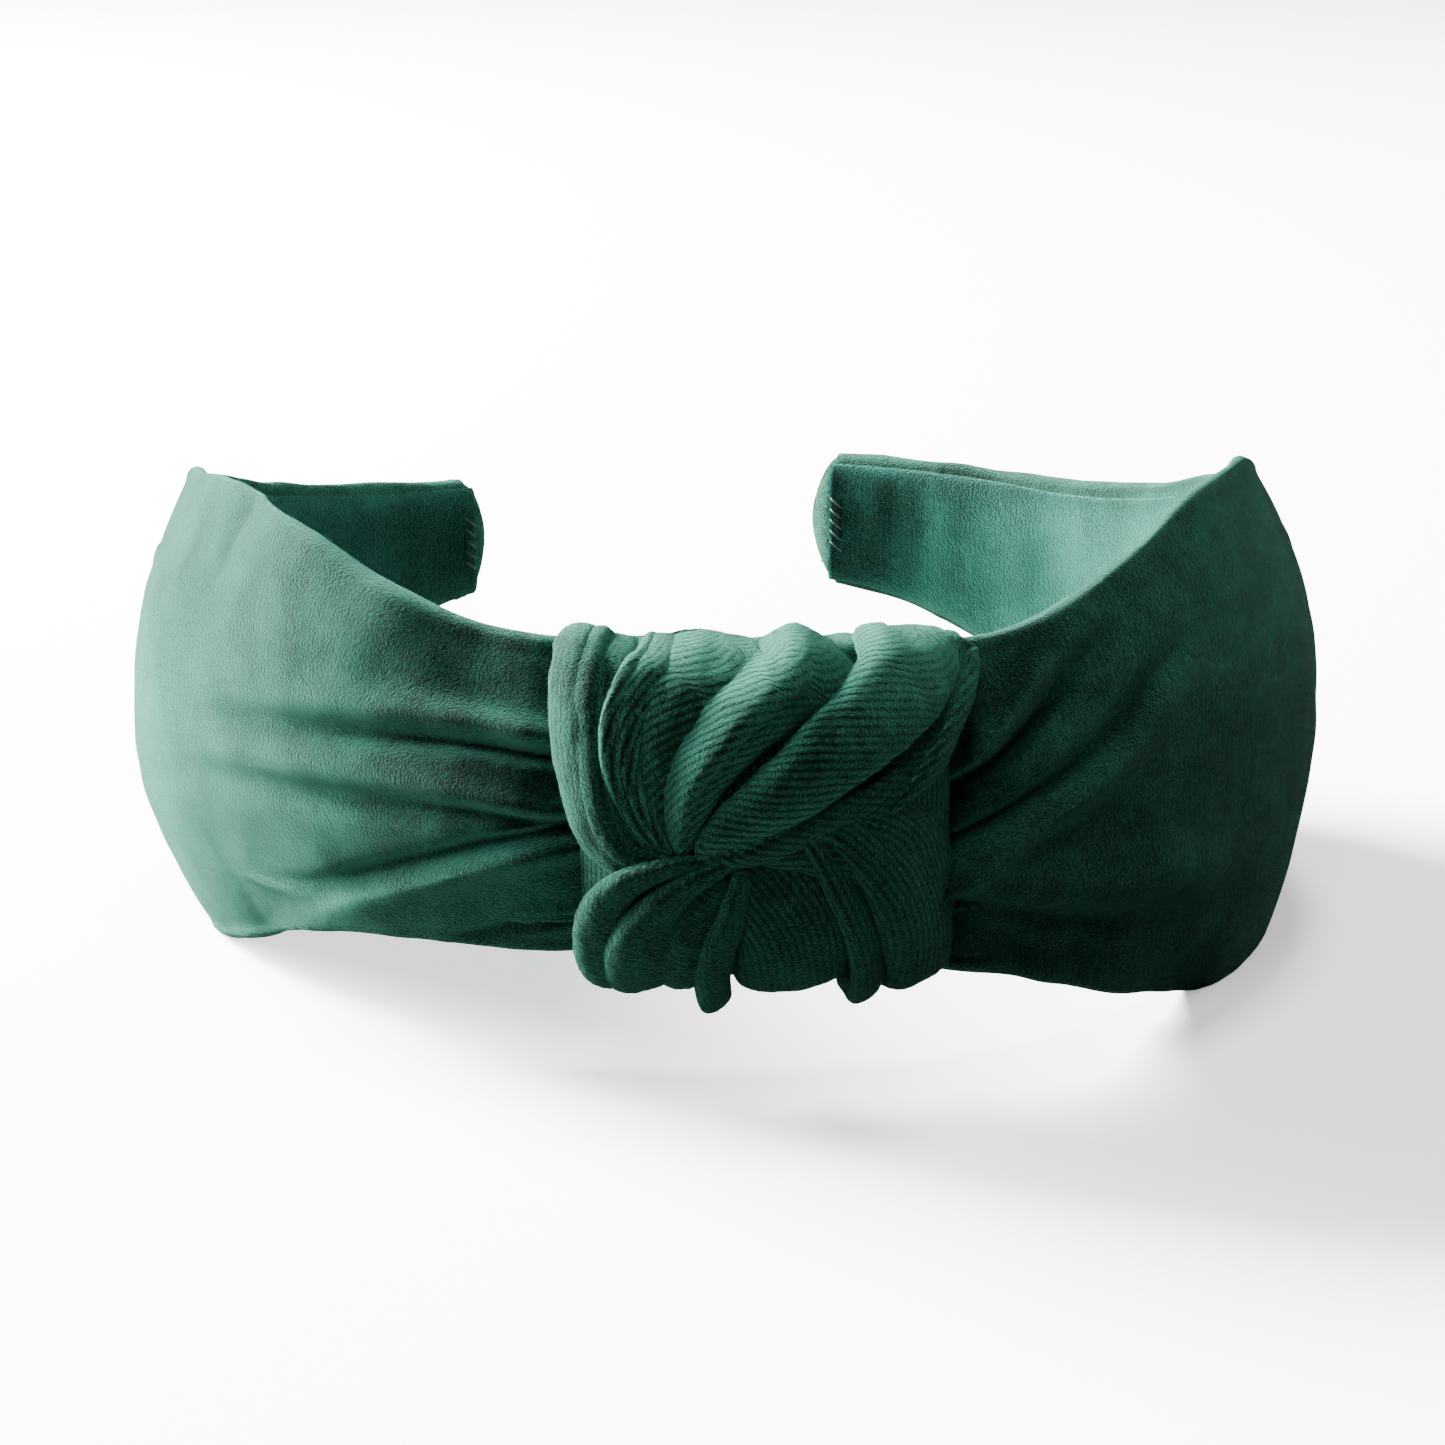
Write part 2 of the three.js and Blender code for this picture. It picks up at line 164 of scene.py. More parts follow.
class Shell:
    """Gathers closed rings of points into one mesh whose UV map, in metres, runs with the weave."""

    def __init__(self) -> None:
        """Starts with nothing in it."""
        self.points: list[np.ndarray] = []
        self.faces: list[np.ndarray] = []
        self.weave: list[np.ndarray] = []
        self.count = 0

    def add(self, rings: np.ndarray, grain: float = 0.0, looped: bool = False) -> None:
        """Adds a closed body, with its UV map turned by the grain.

        Args:
            rings: Points in millimetres, as rings in order along the body; each ring closes on itself.
            grain: Degrees from the body's length to the ribs of the weave.
            looped: Whether the last ring joins the first; otherwise both ends are closed.
        """
        rows, across = rings.shape[:2]
        width = np.linalg.norm(np.roll(rings, -1, axis=1) - rings, axis=2)
        u = np.concatenate([np.zeros((rows, 1)), np.cumsum(width, axis=1)], axis=1)
        u -= u[:, across // 4][:, None]
        middle = rings.mean(axis=1)
        step = np.linalg.norm(np.diff(middle, axis=0, append=middle[:1]), axis=1)
        v = np.concatenate([[0], np.cumsum(step)])[:, None] * np.ones((1, across + 1))
        u = np.concatenate([u, u[:1]], axis=0)
        turn = math.radians(grain)
        cos, sin = math.cos(turn), math.sin(turn)
        flat = np.stack([u * cos + v * sin, v * cos - u * sin], -1)
        last = rows if looped else rows - 1
        i, j = np.meshgrid(np.arange(last), np.arange(across), indexing="ij")
        corners = [(i, j), (i + 1, j), (i + 1, j + 1), (i, j + 1)]
        index = [(a % rows) * across + b % across for a, b in corners]
        sides = np.stack(index, axis=-1).reshape(-1, 4)
        weave = np.stack([flat[a, b] for a, b in corners], axis=-2).reshape(-1, 4, 2)
        self.faces.append(sides + self.count)
        self.weave.append(weave)
        if not looped:
            self.close(rows, across, flat)
        self.points.append(rings.reshape(-1, 3))
        self.count += rows * across

    def close(self, rows: int, across: int, flat: np.ndarray) -> None:
        """Closes both ends of the body that is being added, with a ladder of faces across each.

        Args:
            rows: How many rings it has.
            across: How many points each ring has.
            flat: Its UV places, ring by ring.
        """
        j = np.arange(across // 2 - 1)
        rungs = np.stack([j, j + 1, across - 2 - j, across - 1 - j], axis=-1)
        for row in (0, rows - 1):
            self.faces.append(rungs + self.count + row * across)
            self.weave.append(flat[row][rungs])

    def build(self, name: str) -> bpy.types.Object:
        """Makes the object, with its faces pointing outwards.

        Args:
            name: The object's name.

        Returns:
            The new object, smooth, at the origin.
        """
        mesh = bpy.data.meshes.new(name)
        faces = np.concatenate(self.faces)
        mesh.from_pydata(np.concatenate(self.points) * MM, [], faces.tolist())
        layer = mesh.uv_layers.new(name="weave")
        layer.data.foreach_set("uv", (np.concatenate(self.weave) * MM).ravel())
        work = bmesh.new()
        work.from_mesh(mesh)
        bmesh.ops.recalc_face_normals(work, faces=work.faces)
        work.to_mesh(mesh)
        work.free()
        mesh.polygons.foreach_set("use_smooth", np.ones(len(mesh.polygons), bool))
        made = bpy.data.objects.new(name, mesh)
        bpy.context.scene.collection.objects.link(made)
        return made


def nap(made: bpy.types.Object, height: float, size: float, seed: float = 3.1) -> None:
    """Roughens a piece's surface as the pile's tips do.

    Args:
        made: The piece.
        height: How far the tips stand out and in, in millimetres.
        size: About how far apart they are, in millimetres.
        seed: Shifts the pattern.
    """
    mesh = made.data
    points = np.zeros(len(mesh.vertices) * 3)
    normals = np.zeros(len(mesh.vertices) * 3)
    mesh.vertices.foreach_get("co", points)
    mesh.vertex_normals.foreach_get("vector", normals)
    points = points.reshape(-1, 3)
    rough = rumple(points / MM, size, seed)[:, None]
    mesh.vertices.foreach_set("co", (points + normals.reshape(-1, 3) * rough * height * MM).ravel())
    mesh.update()


@dataclass(frozen=True)
class Fold:
    """A fold in a stretched cover: a ridge with a groove along one of its sides."""

    route: tuple[tuple[float, float], ...]  # stations and heights, from the knot outwards
    ridge: float = 1.0  # how high its ridge stands, in millimetres
    groove: float = 1.0  # how deep its groove is
    width: float = 2.2  # the ridge's, across the fold
    side: int = -1  # the groove lies below the ridge at -1 and above it at 1
    fade: float = 1.6  # how it dies away along its length
    steps: int = 60  # points along its curve
    widening: float = 2.2  # how many times wider it is at its far end
    ridge_away: float = 0.9  # from the fold's line, as a share of the width
    groove_away: float = 0.35
    groove_width: float = 0.55

    def rise(self, station: np.ndarray, height: np.ndarray, radius: float) -> np.ndarray:
        """How far the fold lifts the cover at each place.

        Args:
            station: Stations in degrees.
            height: Heights above the knot's middle, in millimetres.
            radius: The cover's radius.

        Returns:
            The lift in millimetres, negative in the groove.
        """
        per_degree = math.radians(1) * radius
        line = smooth_rows(np.array(self.route), self.steps) * [per_degree, 1]
        places = np.stack([station * per_degree, height], axis=-1)
        start, end = line[:-1], line[1:]
        best = np.full(station.shape, np.inf)
        signed = np.zeros(station.shape)
        along = np.zeros(station.shape)
        for k, (a, b) in enumerate(zip(start, end)):
            d = b - a
            t = np.clip(((places - a) @ d) / (d @ d), 0, 1)
            away = places - a - t[..., None] * d
            far = np.linalg.norm(away, axis=-1)
            near = far < best
            cross = (d[0] * away[..., 1] - d[1] * away[..., 0]) * np.sign(d[0])
            signed = np.where(near, np.sign(cross) * far, signed)
            along = np.where(near, (k + t) / len(start), along)
            best = np.minimum(best, far)
        ahead = signed * -self.side
        spread = mix(1.0, self.widening, along)
        crest = np.exp(-(((ahead - self.ridge_away * self.width * spread) / (self.width * spread)) ** 2))
        groove_span = self.groove_width * self.width * spread
        dip = np.exp(-(((ahead + self.groove_away * self.width) / groove_span) ** 2))
        return (self.ridge * crest - self.groove * dip) * (1 - along**self.fade)


@dataclass(frozen=True)
class Edge:
    """An edge of the cover, as its distance from the knot's middle height along the band."""

    knot: float
    full: float
    tip: float
    rises: float
    risen: float
    falls: float
    fallen: float

    def at(self, turned: np.ndarray) -> np.ndarray:
        """The distance at stations that many degrees from the front."""
        full = mix(self.knot, self.full, ease(turned, self.rises, self.risen))
        return mix(full, self.tip, ease(turned, self.falls, self.fallen))


@dataclass
class Arm:
    """One arm of the band: its velvet cover, foam pad, lining, folded tip and stitches."""

    band: Frame3d
    name: str
    sign: int
    tip: float
    flex: float
    top: Edge
    bottom: Edge
    under_knot: float  # the station where the cover ends beneath the knot
    folds: tuple[Fold, ...]
    seed: float
    velvet_wall: float = 1.2
    foam_wall: float = 3.8
    foam_tip_wall: float = 1.0
    foam_thins: float = 60.0
    edge_drop: float = 6.2
    top_drop: float = 9.4  # where the band is widest; the crowned face falls back this far to its edge
    bottom_drop: float = 8.8
    edge_turn: float = 1.6
    edge_width: float = 1.15
    hem_radius: float = 66.3
    hem_reach: float = 0.5
    tip_length: float = 4.5
    lining_reach: float = 0.9
    crowning: float = 2.2
    face_share: float = 0.66
    turn_share: float = 0.75
    widens: float = 30.0  # the stations between which the face falls back further to its edges
    widened: float = 62.0
    slack_height: float = 0.7  # slack, edge waves and wrinkles: how high and how far apart
    slack_size: float = 24.0
    wave_height: float = 0.55
    wave_size: float = 11.0
    wrinkle_height: float = 0.22
    wrinkle_size: float = 5.5
    sunk: float = 2.2  # how deep the cover's end lies beneath the knot
    cover_step: float = 0.62
    cover_columns: int = 150
    foam_step: float = 1.5
    foam_columns: int = 60
    lining_step: float = 0.8
    lining_columns: int = 76
    lining_thick: float = 0.9
    tip_inner_radius: float = 64.9
    tip_rings_count: int = 30
    tip_columns: int = 120
    stitch_radius: float = 64.75
    stitch_span: float = 8.0

    def core_half_height(self, turned: np.ndarray) -> np.ndarray:
        """Half the core's height, in millimetres, at stations that many degrees from the front."""
        return Edge(12.5, 16.0, 4.6, 18, 50, 70, self.tip).at(turned)

    def section(self, station: np.ndarray) -> dict[str, np.ndarray]:
        """The cover's section.

        Args:
            station: Stations in degrees.

        Returns:
            Its middle, half height, crown radius and the drop to each edge, in millimetres.
        """
        turned = np.abs(station)
        top, bottom = self.top.at(turned), self.bottom.at(turned)
        foam = mix(self.foam_wall, self.foam_tip_wall, ease(turned, self.foam_thins, self.tip))
        middle, half = (top - bottom) / 2, (top + bottom) / 2
        corner = (self.core_half_height(turned) + GAP + np.abs(middle)) / (half - self.edge_turn)
        most = (foam + GAP) / corner**self.crowning
        wide = ease(turned, self.widens, self.widened)
        return {
            "middle": middle,
            "half": half,
            "crown": self.band.core_radius + foam + self.velvet_wall + 2 * GAP,
            "top_drop": np.minimum(mix(self.edge_drop, self.top_drop, wide), most),
            "bottom_drop": np.minimum(mix(self.edge_drop, self.bottom_drop, wide), most),
        }

    def outline(self, station: np.ndarray, t: np.ndarray) -> tuple[np.ndarray, np.ndarray]:
        """The cover's outer outline.

        Args:
            station: Stations in degrees.
            t: From -1 at the end of the lower hem, over the face, to 1 at the end of the upper hem.

        Returns:
            The radius and the height of each point, in millimetres.
        """
        at = self.section(station)
        far = np.abs(t)
        share = np.minimum(far / self.face_share, 1)
        turn = np.clip((far - self.face_share) / (self.turn_share - self.face_share), 0, 1) * math.pi
        hem = np.clip((far - self.turn_share) / (1 - self.turn_share), 0, 1)
        drop = np.where(t > 0, at["top_drop"], at["bottom_drop"])
        rim = at["crown"] - drop
        turn_height = at["half"] - self.edge_turn
        inner = np.minimum(rim - 2 * self.edge_width, self.hem_radius)
        inner = mix(inner, self.hem_radius, ease(hem, 0, 1))
        bent = mix(rim, inner, (1 - np.cos(turn)) / 2)
        radius = np.where(turn > 0, bent, at["crown"] - drop * share**self.crowning)
        height = share * turn_height + self.edge_turn * np.sin(turn) - hem * self.hem_reach * at["half"]
        return radius, at["middle"] + np.sign(t) * height

    def lift(self, station: np.ndarray, t: np.ndarray, place: np.ndarray) -> np.ndarray:
        """How far the folds, gathers and slack lift the cover off its even shape.

        Args:
            station: Stations in degrees.
            t: Where each point is along the outline.
            place: The outline's own radius and height there.

        Returns:
            The lift in millimetres, never so far down that the cover meets the core.
        """
        height = place[..., 1]
        face = 1 - ease(np.abs(t), self.face_share, self.turn_share)
        radius = self.band.core_radius + self.foam_wall
        folds = sum(fold.rise(station, height, radius) for fold in self.folds)
        places = np.stack([station * 1.3 + self.seed, height, 0 * height], axis=-1)
        slack = self.slack_height * rumple(places * [1, 1.6, 1], self.slack_size, self.seed)
        wave = self.wave_height * rumple(places * [1, 0.4, 1], self.wave_size, self.seed + 5)
        wrinkle = self.wrinkle_height * rumple(places, self.wrinkle_size, self.seed + 9)
        ends = 1 - ease(np.abs(station), self.tip - 9, self.tip - 2)
        wave = wave * ease(np.abs(t), 0.4, 0.7) * ends
        raised = (folds + slack + wrinkle) * face * mix(0.35, 1, ends) + wave
        room = place[..., 0] - self.band.core_radius - self.velvet_wall - 2 * GAP
        over_core = np.abs(height) < self.core_half_height(np.abs(station)) + 1
        return np.where(over_core & (face > 0.5), np.maximum(raised, -np.maximum(room, 0)), raised)

    def cover_points(self, station: np.ndarray, t: np.ndarray, depth: float) -> np.ndarray:
        """Points of the cover.

        Args:
            station: Stations in degrees.
            t: Where each point is along the outline.
            depth: How far below the outer face the points lie, in millimetres.

        Returns:
            The points, in millimetres.
        """
        nudge = 1e-3
        before, place, after = (np.stack(self.outline(station, t + k * nudge), axis=-1) for k in (-1, 0, 1))
        along = after - before
        outwards = unit(np.stack([along[..., 1], -along[..., 0]], axis=-1))
        lift = self.lift(station, t, place)
        under = ease(self.sign * station, self.sign * self.under_knot, self.sign * self.flex)
        sunk = self.sunk * (1 - under)
        place = place + outwards * (lift - depth)[..., None]
        points = self.band.point(station, place[..., 0] - sunk, place[..., 1])
        points[..., 2] = np.maximum(points[..., 2], self.velvet_wall - 0.5 if depth else 0.0)
        return points

    def short_of_tip(self, gap: float) -> float:
        """The station that lies a gap of millimetres short of where the tip's fold starts."""
        return self.sign * (self.tip - math.degrees((self.tip_length + gap) / self.band.core_radius))

    def stations(self, start: float, end: float, step: float) -> np.ndarray:
        """Stations from one to another, about a step of millimetres apart, as a column."""
        length = abs(end - start) * math.radians(1) * self.band.core_radius
        return np.linspace(start, end, int(length / step) + 1)[:, None]

    def make_cover(self) -> bpy.types.Object:
        """The velvet cover, one sheet turned in over both edges of the band.

        Returns:
            The piece.
        """
        station = self.stations(self.under_knot, self.short_of_tip(-0.6), self.cover_step)
        t = np.linspace(-1, 1, self.cover_columns)[None, :]
        station, t = np.broadcast_arrays(station, t)
        outer = self.cover_points(station, t, 0.0)
        inner = self.cover_points(station[:, ::-1], t[:, ::-1], self.velvet_wall)
        shell = Shell()
        shell.add(np.concatenate([outer, inner], axis=1), grain=RIBS_ACROSS)
        return shell.build(f"cover_{self.name}")

    def make_foam(self) -> bpy.types.Object:
        """The foam pad between the core and the cover.

        Returns:
            The piece.
        """
        station = self.stations(self.flex + self.sign * 0.8, self.short_of_tip(0.6), self.foam_step)
        at = self.section(station)
        inner = self.band.core_radius + GAP
        room = at["crown"] - self.velvet_wall - GAP - inner - 0.5
        drop = np.maximum(at["top_drop"], at["bottom_drop"])
        most = np.minimum((room / drop) ** (1 / self.crowning), 1) * self.face_share
        t = np.linspace(-1, 1, self.foam_columns)[None, :] * most
        station = np.broadcast_to(station, t.shape)
        outer = self.cover_points(station, t, self.velvet_wall + GAP)
        _, height = self.outline(station, t)
        inner = self.band.point(station, np.full(t.shape, inner), height)[:, ::-1]
        shell = Shell()
        shell.add(np.concatenate([outer, inner], axis=1))
        return shell.build(f"foam_pad_{self.name}")

    def make_lining(self, start: float) -> bpy.types.Object:
        """The lining that covers the hems on the inside.

        Args:
            start: The station at the knot from which it runs to the tip.

        Returns:
            The piece.
        """
        station = self.stations(start, self.short_of_tip(-1.4), self.lining_step)
        at = self.section(station)
        across = np.linspace(-1, 1, self.lining_columns)[None, :]
        half = self.lining_reach * at["half"]
        height = at["middle"] + across * half
        hem = self.turn_share + (1 - self.turn_share) * 2 * (1 - np.abs(across) * self.lining_reach)
        t = np.sign(across) * np.clip(hem, self.turn_share, 1)
        station, t = np.broadcast_arrays(station, t)
        radius, _ = self.outline(station, t)
        length = station * math.radians(1) * self.hem_radius
        places = np.stack([length, height * 0.25, 0 * length], axis=-1)
        wave = 0.5 * rumple(places, 9, self.seed + 2) + 0.22 * rumple(places, 4, self.seed + 7)
        wave = wave * (1 - np.abs(across) ** 4)
        thick = self.lining_thick * (1 - np.abs(across) ** 10)
        flush = 0.1 + 0.25 * (1 - np.abs(across) ** 6)
        outer = self.band.point(station, radius - 0.02, height)
        inner = self.band.point(station, radius - flush - thick + np.minimum(wave, 0.3), height)
        shell = Shell()
        shell.add(np.concatenate([inner, outer[:, ::-1]], axis=1), grain=RIBS_ACROSS)
        return shell.build(f"lining_strip_{self.name}")

    def tip_rings(self, near: np.ndarray, wall: float) -> np.ndarray:
        """Rings of the folded tip.

        Args:
            near: How close each ring is to the very end, from 0 to 1, as a column.
            wall: How far the rings lie inside the outer face, in millimetres.

        Returns:
            The rings' points.
        """
        reach = math.degrees(self.tip_length / self.band.core_radius)
        inset = math.degrees(wall / self.band.core_radius)
        station = self.sign * (self.tip - inset - reach * 1.18 * (1 - near))
        at = self.section(station)
        turn = np.linspace(0, 2 * math.pi, self.tip_columns, endpoint=False)[None, :] + math.pi / 2
        round_off = np.sqrt(np.maximum(1 - near**2.6, 0.0004))
        pleats = 1 + (0.035 * np.cos(11 * turn + self.seed) + 0.02 * np.cos(23 * turn)) * near
        outer, inner = at["crown"] - 0.4 * at["top_drop"] + 0.25 - wall, self.tip_inner_radius + wall
        middle, depth = (outer + inner) / 2, (outer - inner) / 2
        cos, sin = np.cos(turn), np.sin(turn)
        side = squared(cos, 0.75) * mix(1, 0.3, near**3) * round_off**0.6
        spread = (at["half"] - wall) * (1 - 0.42 * near**2.4) * round_off**0.9 * pleats
        height = at["middle"] + spread * squared(sin, 0.9)
        return self.band.point(station, middle + depth * side * pleats, height)

    def make_tip(self) -> bpy.types.Object:
        """The rounded end, where the cover is folded round the core and gathered: a pocket.

        Returns:
            The piece.
        """
        near = np.sin(np.linspace(0, math.pi / 2, self.tip_rings_count))[:, None]
        outside = self.tip_rings(near[::-1], 0.0)
        inside = self.tip_rings(near, self.velvet_wall - 0.2)
        shell = Shell()
        shell.add(np.concatenate([outside, inside]), grain=RIBS_ACROSS)
        made = shell.build(f"tip_gather_{self.name}")
        nap(made, 0.06, 0.5)
        return made

    def make_stitches(self) -> bpy.types.Object:
        """The small slanting stitches that close the fold at the tip, on the inside.

        Returns:
            The piece.
        """
        seam = self.short_of_tip(0.0)
        middle = float(self.section(np.array(seam))["middle"])
        row = StitchRow(seam, self.stitch_radius, middle, self.stitch_span)
        return row.build(self.band, f"tip_stitches_{self.name}")


@dataclass(frozen=True)
class StitchRow:
    """A row of slanting stitches on the inside of the band, one above another, sized in millimetres."""

    station: float  # in degrees
    radius: float  # from the middle of the band's curve
    middle: float  # the row's middle height
    span: float
    count: int = 5
    slant: float = 0.9  # each stitch's height, as a share of the pitch
    thread: float = 0.22  # half the thread's thickness
    bulge: float = 0.3
    sides: int = 8
    rings: int = 13

    def build(self, band: Frame3d, name: str) -> bpy.types.Object:
        """Makes the stitches, one mesh.

        Args:
            band: The band's curve.
            name: The object's name.

        Returns:
            The piece.
        """
        shell = Shell()
        pitch = self.span / self.count
        turn = np.linspace(0, 2 * math.pi, self.sides, endpoint=False)[None, :]
        share = np.linspace(0, 1, self.rings)[:, None]
        for k in range(self.count):
            base = self.middle - self.span / 2 + (k + 0.5) * pitch
            up = (share - 0.5) * pitch * self.slant
            thick = self.thread * np.sqrt(np.maximum(1 - (2 * share - 1) ** 4, 0.05))
            depth = self.radius - self.bulge * np.sin(share * math.pi) - thick * np.sin(turn)
            at = self.station + np.degrees((up * 1.2 + thick * np.cos(turn)) / self.radius)
            shell.add(band.point(at, depth, base + up + 0 * turn))
        return shell.build(name)


@dataclass(frozen=True)
class Pleat:
    """One fold of the knot, a flattened roll of velvet.

    Its route's rows give the station in degrees, the girth in millimetres up (or down) the front from
    the knot's middle, half its width, and how far it stands off the knot's body.
    """

    route: tuple[tuple[float, float, float, float], ...]
    thick: float = 2.4
    lean: float = 0.0  # degrees that its right side is raised
    skew: float = 0.25  # how much higher its left side stands than its right
    mesh_step: float = 0.29
    grain: float = 0.0
    over: bool = True  # whether it goes on over the band's edge and down the back
    slump: float = 0.15  # how much its thickness and width wander along it


@dataclass
class Knot:
    """The knot: a wrap round the band, and the folds that fan out from the pinch at its front."""

    band: Frame3d
    station: float = -3.3
    spread: float = 18.58
    body_middle: float = 69.5
    body_height: float = 20.5
    body_back: float = 6.4
    edge_radius: float = 77.1
    bulge: float = 7.6
    squareness: float = 0.75
    over_reach: float = 28.0  # girth from the band's edge to the middle of the back
    per_degree: float = 1.36  # millimetres along the front of the body
    # how far past the band's edge a pleat's last rows lie, with their share of its width and their drop
    over_rows: tuple[tuple[float, float, float], ...] = ((8.0, 0.92, 0.4), (17.0, 0.8, 1.2))
    wander_size: float = 4.5
    ripple_size: float = 1.9
    nap_height: float = 0.1
    nap_size: float = 0.42
    wrap_half: float = 15.2  # half the wrap's width, in degrees
    wrap_middle: float = 68.7
    wrap_rings: int = 190
    wrap_columns: int = 120
    stitch_radius: float = 63.1
    stitch_span: float = 9.0

    def skin(self, station: np.ndarray, girth: np.ndarray) -> np.ndarray:
        """Points on the knot's body.

        Args:
            station: Stations in degrees.
            girth: Millimetres up the front from the middle, and on over the edge and down the back.

        Returns:
            The points, in millimetres.
        """
        u = (station - self.station) / self.spread
        far = np.abs(girth)
        front = np.arcsin(np.minimum(far / self.body_height, 1) ** (1 / self.squareness))
        turn = front + np.maximum(far - self.body_height, 0) / self.over_reach * math.pi / 2
        cos, sin = np.cos(turn), np.sin(turn)
        reach = self.edge_radius + self.bulge * (1 - np.abs(u) ** 3) - self.body_middle
        reach = np.where(cos > 0, reach, self.body_back)
        radius = self.body_middle + reach * squared(cos, self.squareness)
        height = np.sign(girth) * self.body_height * np.abs(sin) ** self.squareness
        return self.band.point(station, radius, height)

    def outwards(self, station: np.ndarray, girth: np.ndarray) -> np.ndarray:
        """The body's outward directions.

        Args:
            station: Stations in degrees.
            girth: Millimetres up the front from the middle.

        Returns:
            A direction for each place.
        """
        nudge = 0.6
        across = self.skin(station + nudge, girth) - self.skin(station - nudge, girth)
        up = self.skin(station, girth + nudge) - self.skin(station, girth - nudge)
        return unit(np.cross(across, up))

    def roll(self, pleat: Pleat, seed: float) -> np.ndarray:
        """One pleat, draped over the knot's body.

        Args:
            pleat: The pleat.
            seed: Shifts its unevenness.

        Returns:
            Its rings' points, in millimetres.
        """
        rows = list(pleat.route)
        side = 1 if rows[-1][1] > rows[0][1] else -1
        if pleat.over:
            station, _, half, lift = rows[-1]
            rows += [(station, side * (self.body_height + on), half * narrower, lift - lower)
                     for on, narrower, lower in self.over_rows]
        steps = [((b[0] - a[0]) * self.per_degree, b[1] - a[1]) for a, b in zip(rows, rows[1:])]
        length = sum(math.hypot(*step) for step in steps)
        path = smooth_rows(np.array(rows), int(length / pleat.mesh_step) + 2)
        station, girth, half, lift = path.T
        normal = self.outwards(station, girth)
        tight = np.minimum(pleat.thick, 0.9 * half + 0.5)
        share = np.linspace(0, 1, len(path))
        ends = np.sqrt(np.clip(1 - (2 * share - 1) ** 24, 0.02, 1))
        tight, half = tight * ends, half * ends
        spine = self.skin(station, girth) + normal * (lift - tight)[:, None]
        run = np.stack([np.gradient(station) * self.per_degree, np.gradient(girth)], axis=-1)
        run /= np.linalg.norm(run, axis=1, keepdims=True)
        right = np.stack([run[:, 1], -run[:, 0]], axis=-1) * side
        count = 2 * int(max(half) * 4 / pleat.mesh_step / 2) + 12
        turn = (np.arange(count) + 0.5) / count * 2 * math.pi
        cos, sin = np.cos(turn), np.sin(turn)
        x = squared(cos, 0.9)
        y = np.where(sin > 0, np.abs(sin) ** 0.85 * (1 - pleat.skew * x), -0.7 * np.abs(sin))
        aside = half[:, None] * x
        stations = station[:, None] + aside * right[:, :1] / self.per_degree
        girths = girth[:, None] + aside * right[:, 1:]
        rise = (lift - tight)[:, None] + tight[:, None] * y + aside * math.sin(math.radians(pleat.lean))
        rings = self.skin(stations, girths) + self.outwards(stations, girths) * rise[..., None]
        ripple = 0.45 * pleat.slump * rumple(rings, self.ripple_size, seed + 4)
        wander = pleat.slump * rumple(rings, self.wander_size, seed) + ripple
        away = unit(rings - spine[:, None, :])
        return rings + away * (wander * np.minimum(half, 2.5)[:, None] * 0.8)[..., None]

    def make_lobe(self, name: str, pleats: tuple[Pleat, ...]) -> bpy.types.Object:
        """Makes one lobe of the knot from its pleats.

        Args:
            name: The object's name.
            pleats: The folds that it is gathered into.

        Returns:
            The lobe.
        """
        shell = Shell()
        for k, pleat in enumerate(pleats):
            shell.add(self.roll(pleat, 7.3 * k + len(name)), grain=pleat.grain)
        made = shell.build(name)
        nap(made, self.nap_height, self.nap_size)
        return made

    def make_wrap(self) -> bpy.types.Object:
        """The fabric that passes round the band behind the folds, gathered along its length.

        Returns:
            The piece.
        """
        turn = np.linspace(0, 2 * math.pi, self.wrap_rings, endpoint=False)[:, None]
        across = np.linspace(-1, 1, self.wrap_columns)[None, :]
        cos, sin = np.cos(turn), np.sin(turn)
        station = self.station + across * self.wrap_half
        back = ease(-cos, -0.2, 0.5)
        gather = 0.42 * np.sin(across * 16 + 0.5 * np.sin(turn * 2)) + 0.25 * np.sin(across * 37 + turn)
        edge = 1 - np.abs(across) ** 8
        faces = []
        for front, behind, height, wave in ((5.0, 5.5, 19.0, 1.0), (3.8, 4.3, 17.8, 0.9)):
            reach = np.where(cos > 0, front, behind) * squared(cos, 0.5)
            radius = self.wrap_middle + reach * (1 + 0.09 * gather * back * wave * edge)
            up = height * squared(sin, 0.5) * (1 + 0.012 * gather * wave)
            faces.append(self.band.point(*np.broadcast_arrays(station, radius, up)))
        shell = Shell()
        shell.add(np.concatenate([faces[0], faces[1][:, ::-1]], axis=1), looped=True)
        made = shell.build("knot_wrap_sleeve")
        nap(made, 0.05, 0.5)
        return made

    def make_stitches(self) -> bpy.types.Object:
        """The stitches that tack the wrap's overlap, inside the band."""
        row = StitchRow(self.station, self.stitch_radius, 0.0, self.stitch_span)
        return row.build(self.band, "knot_tack_stitches")


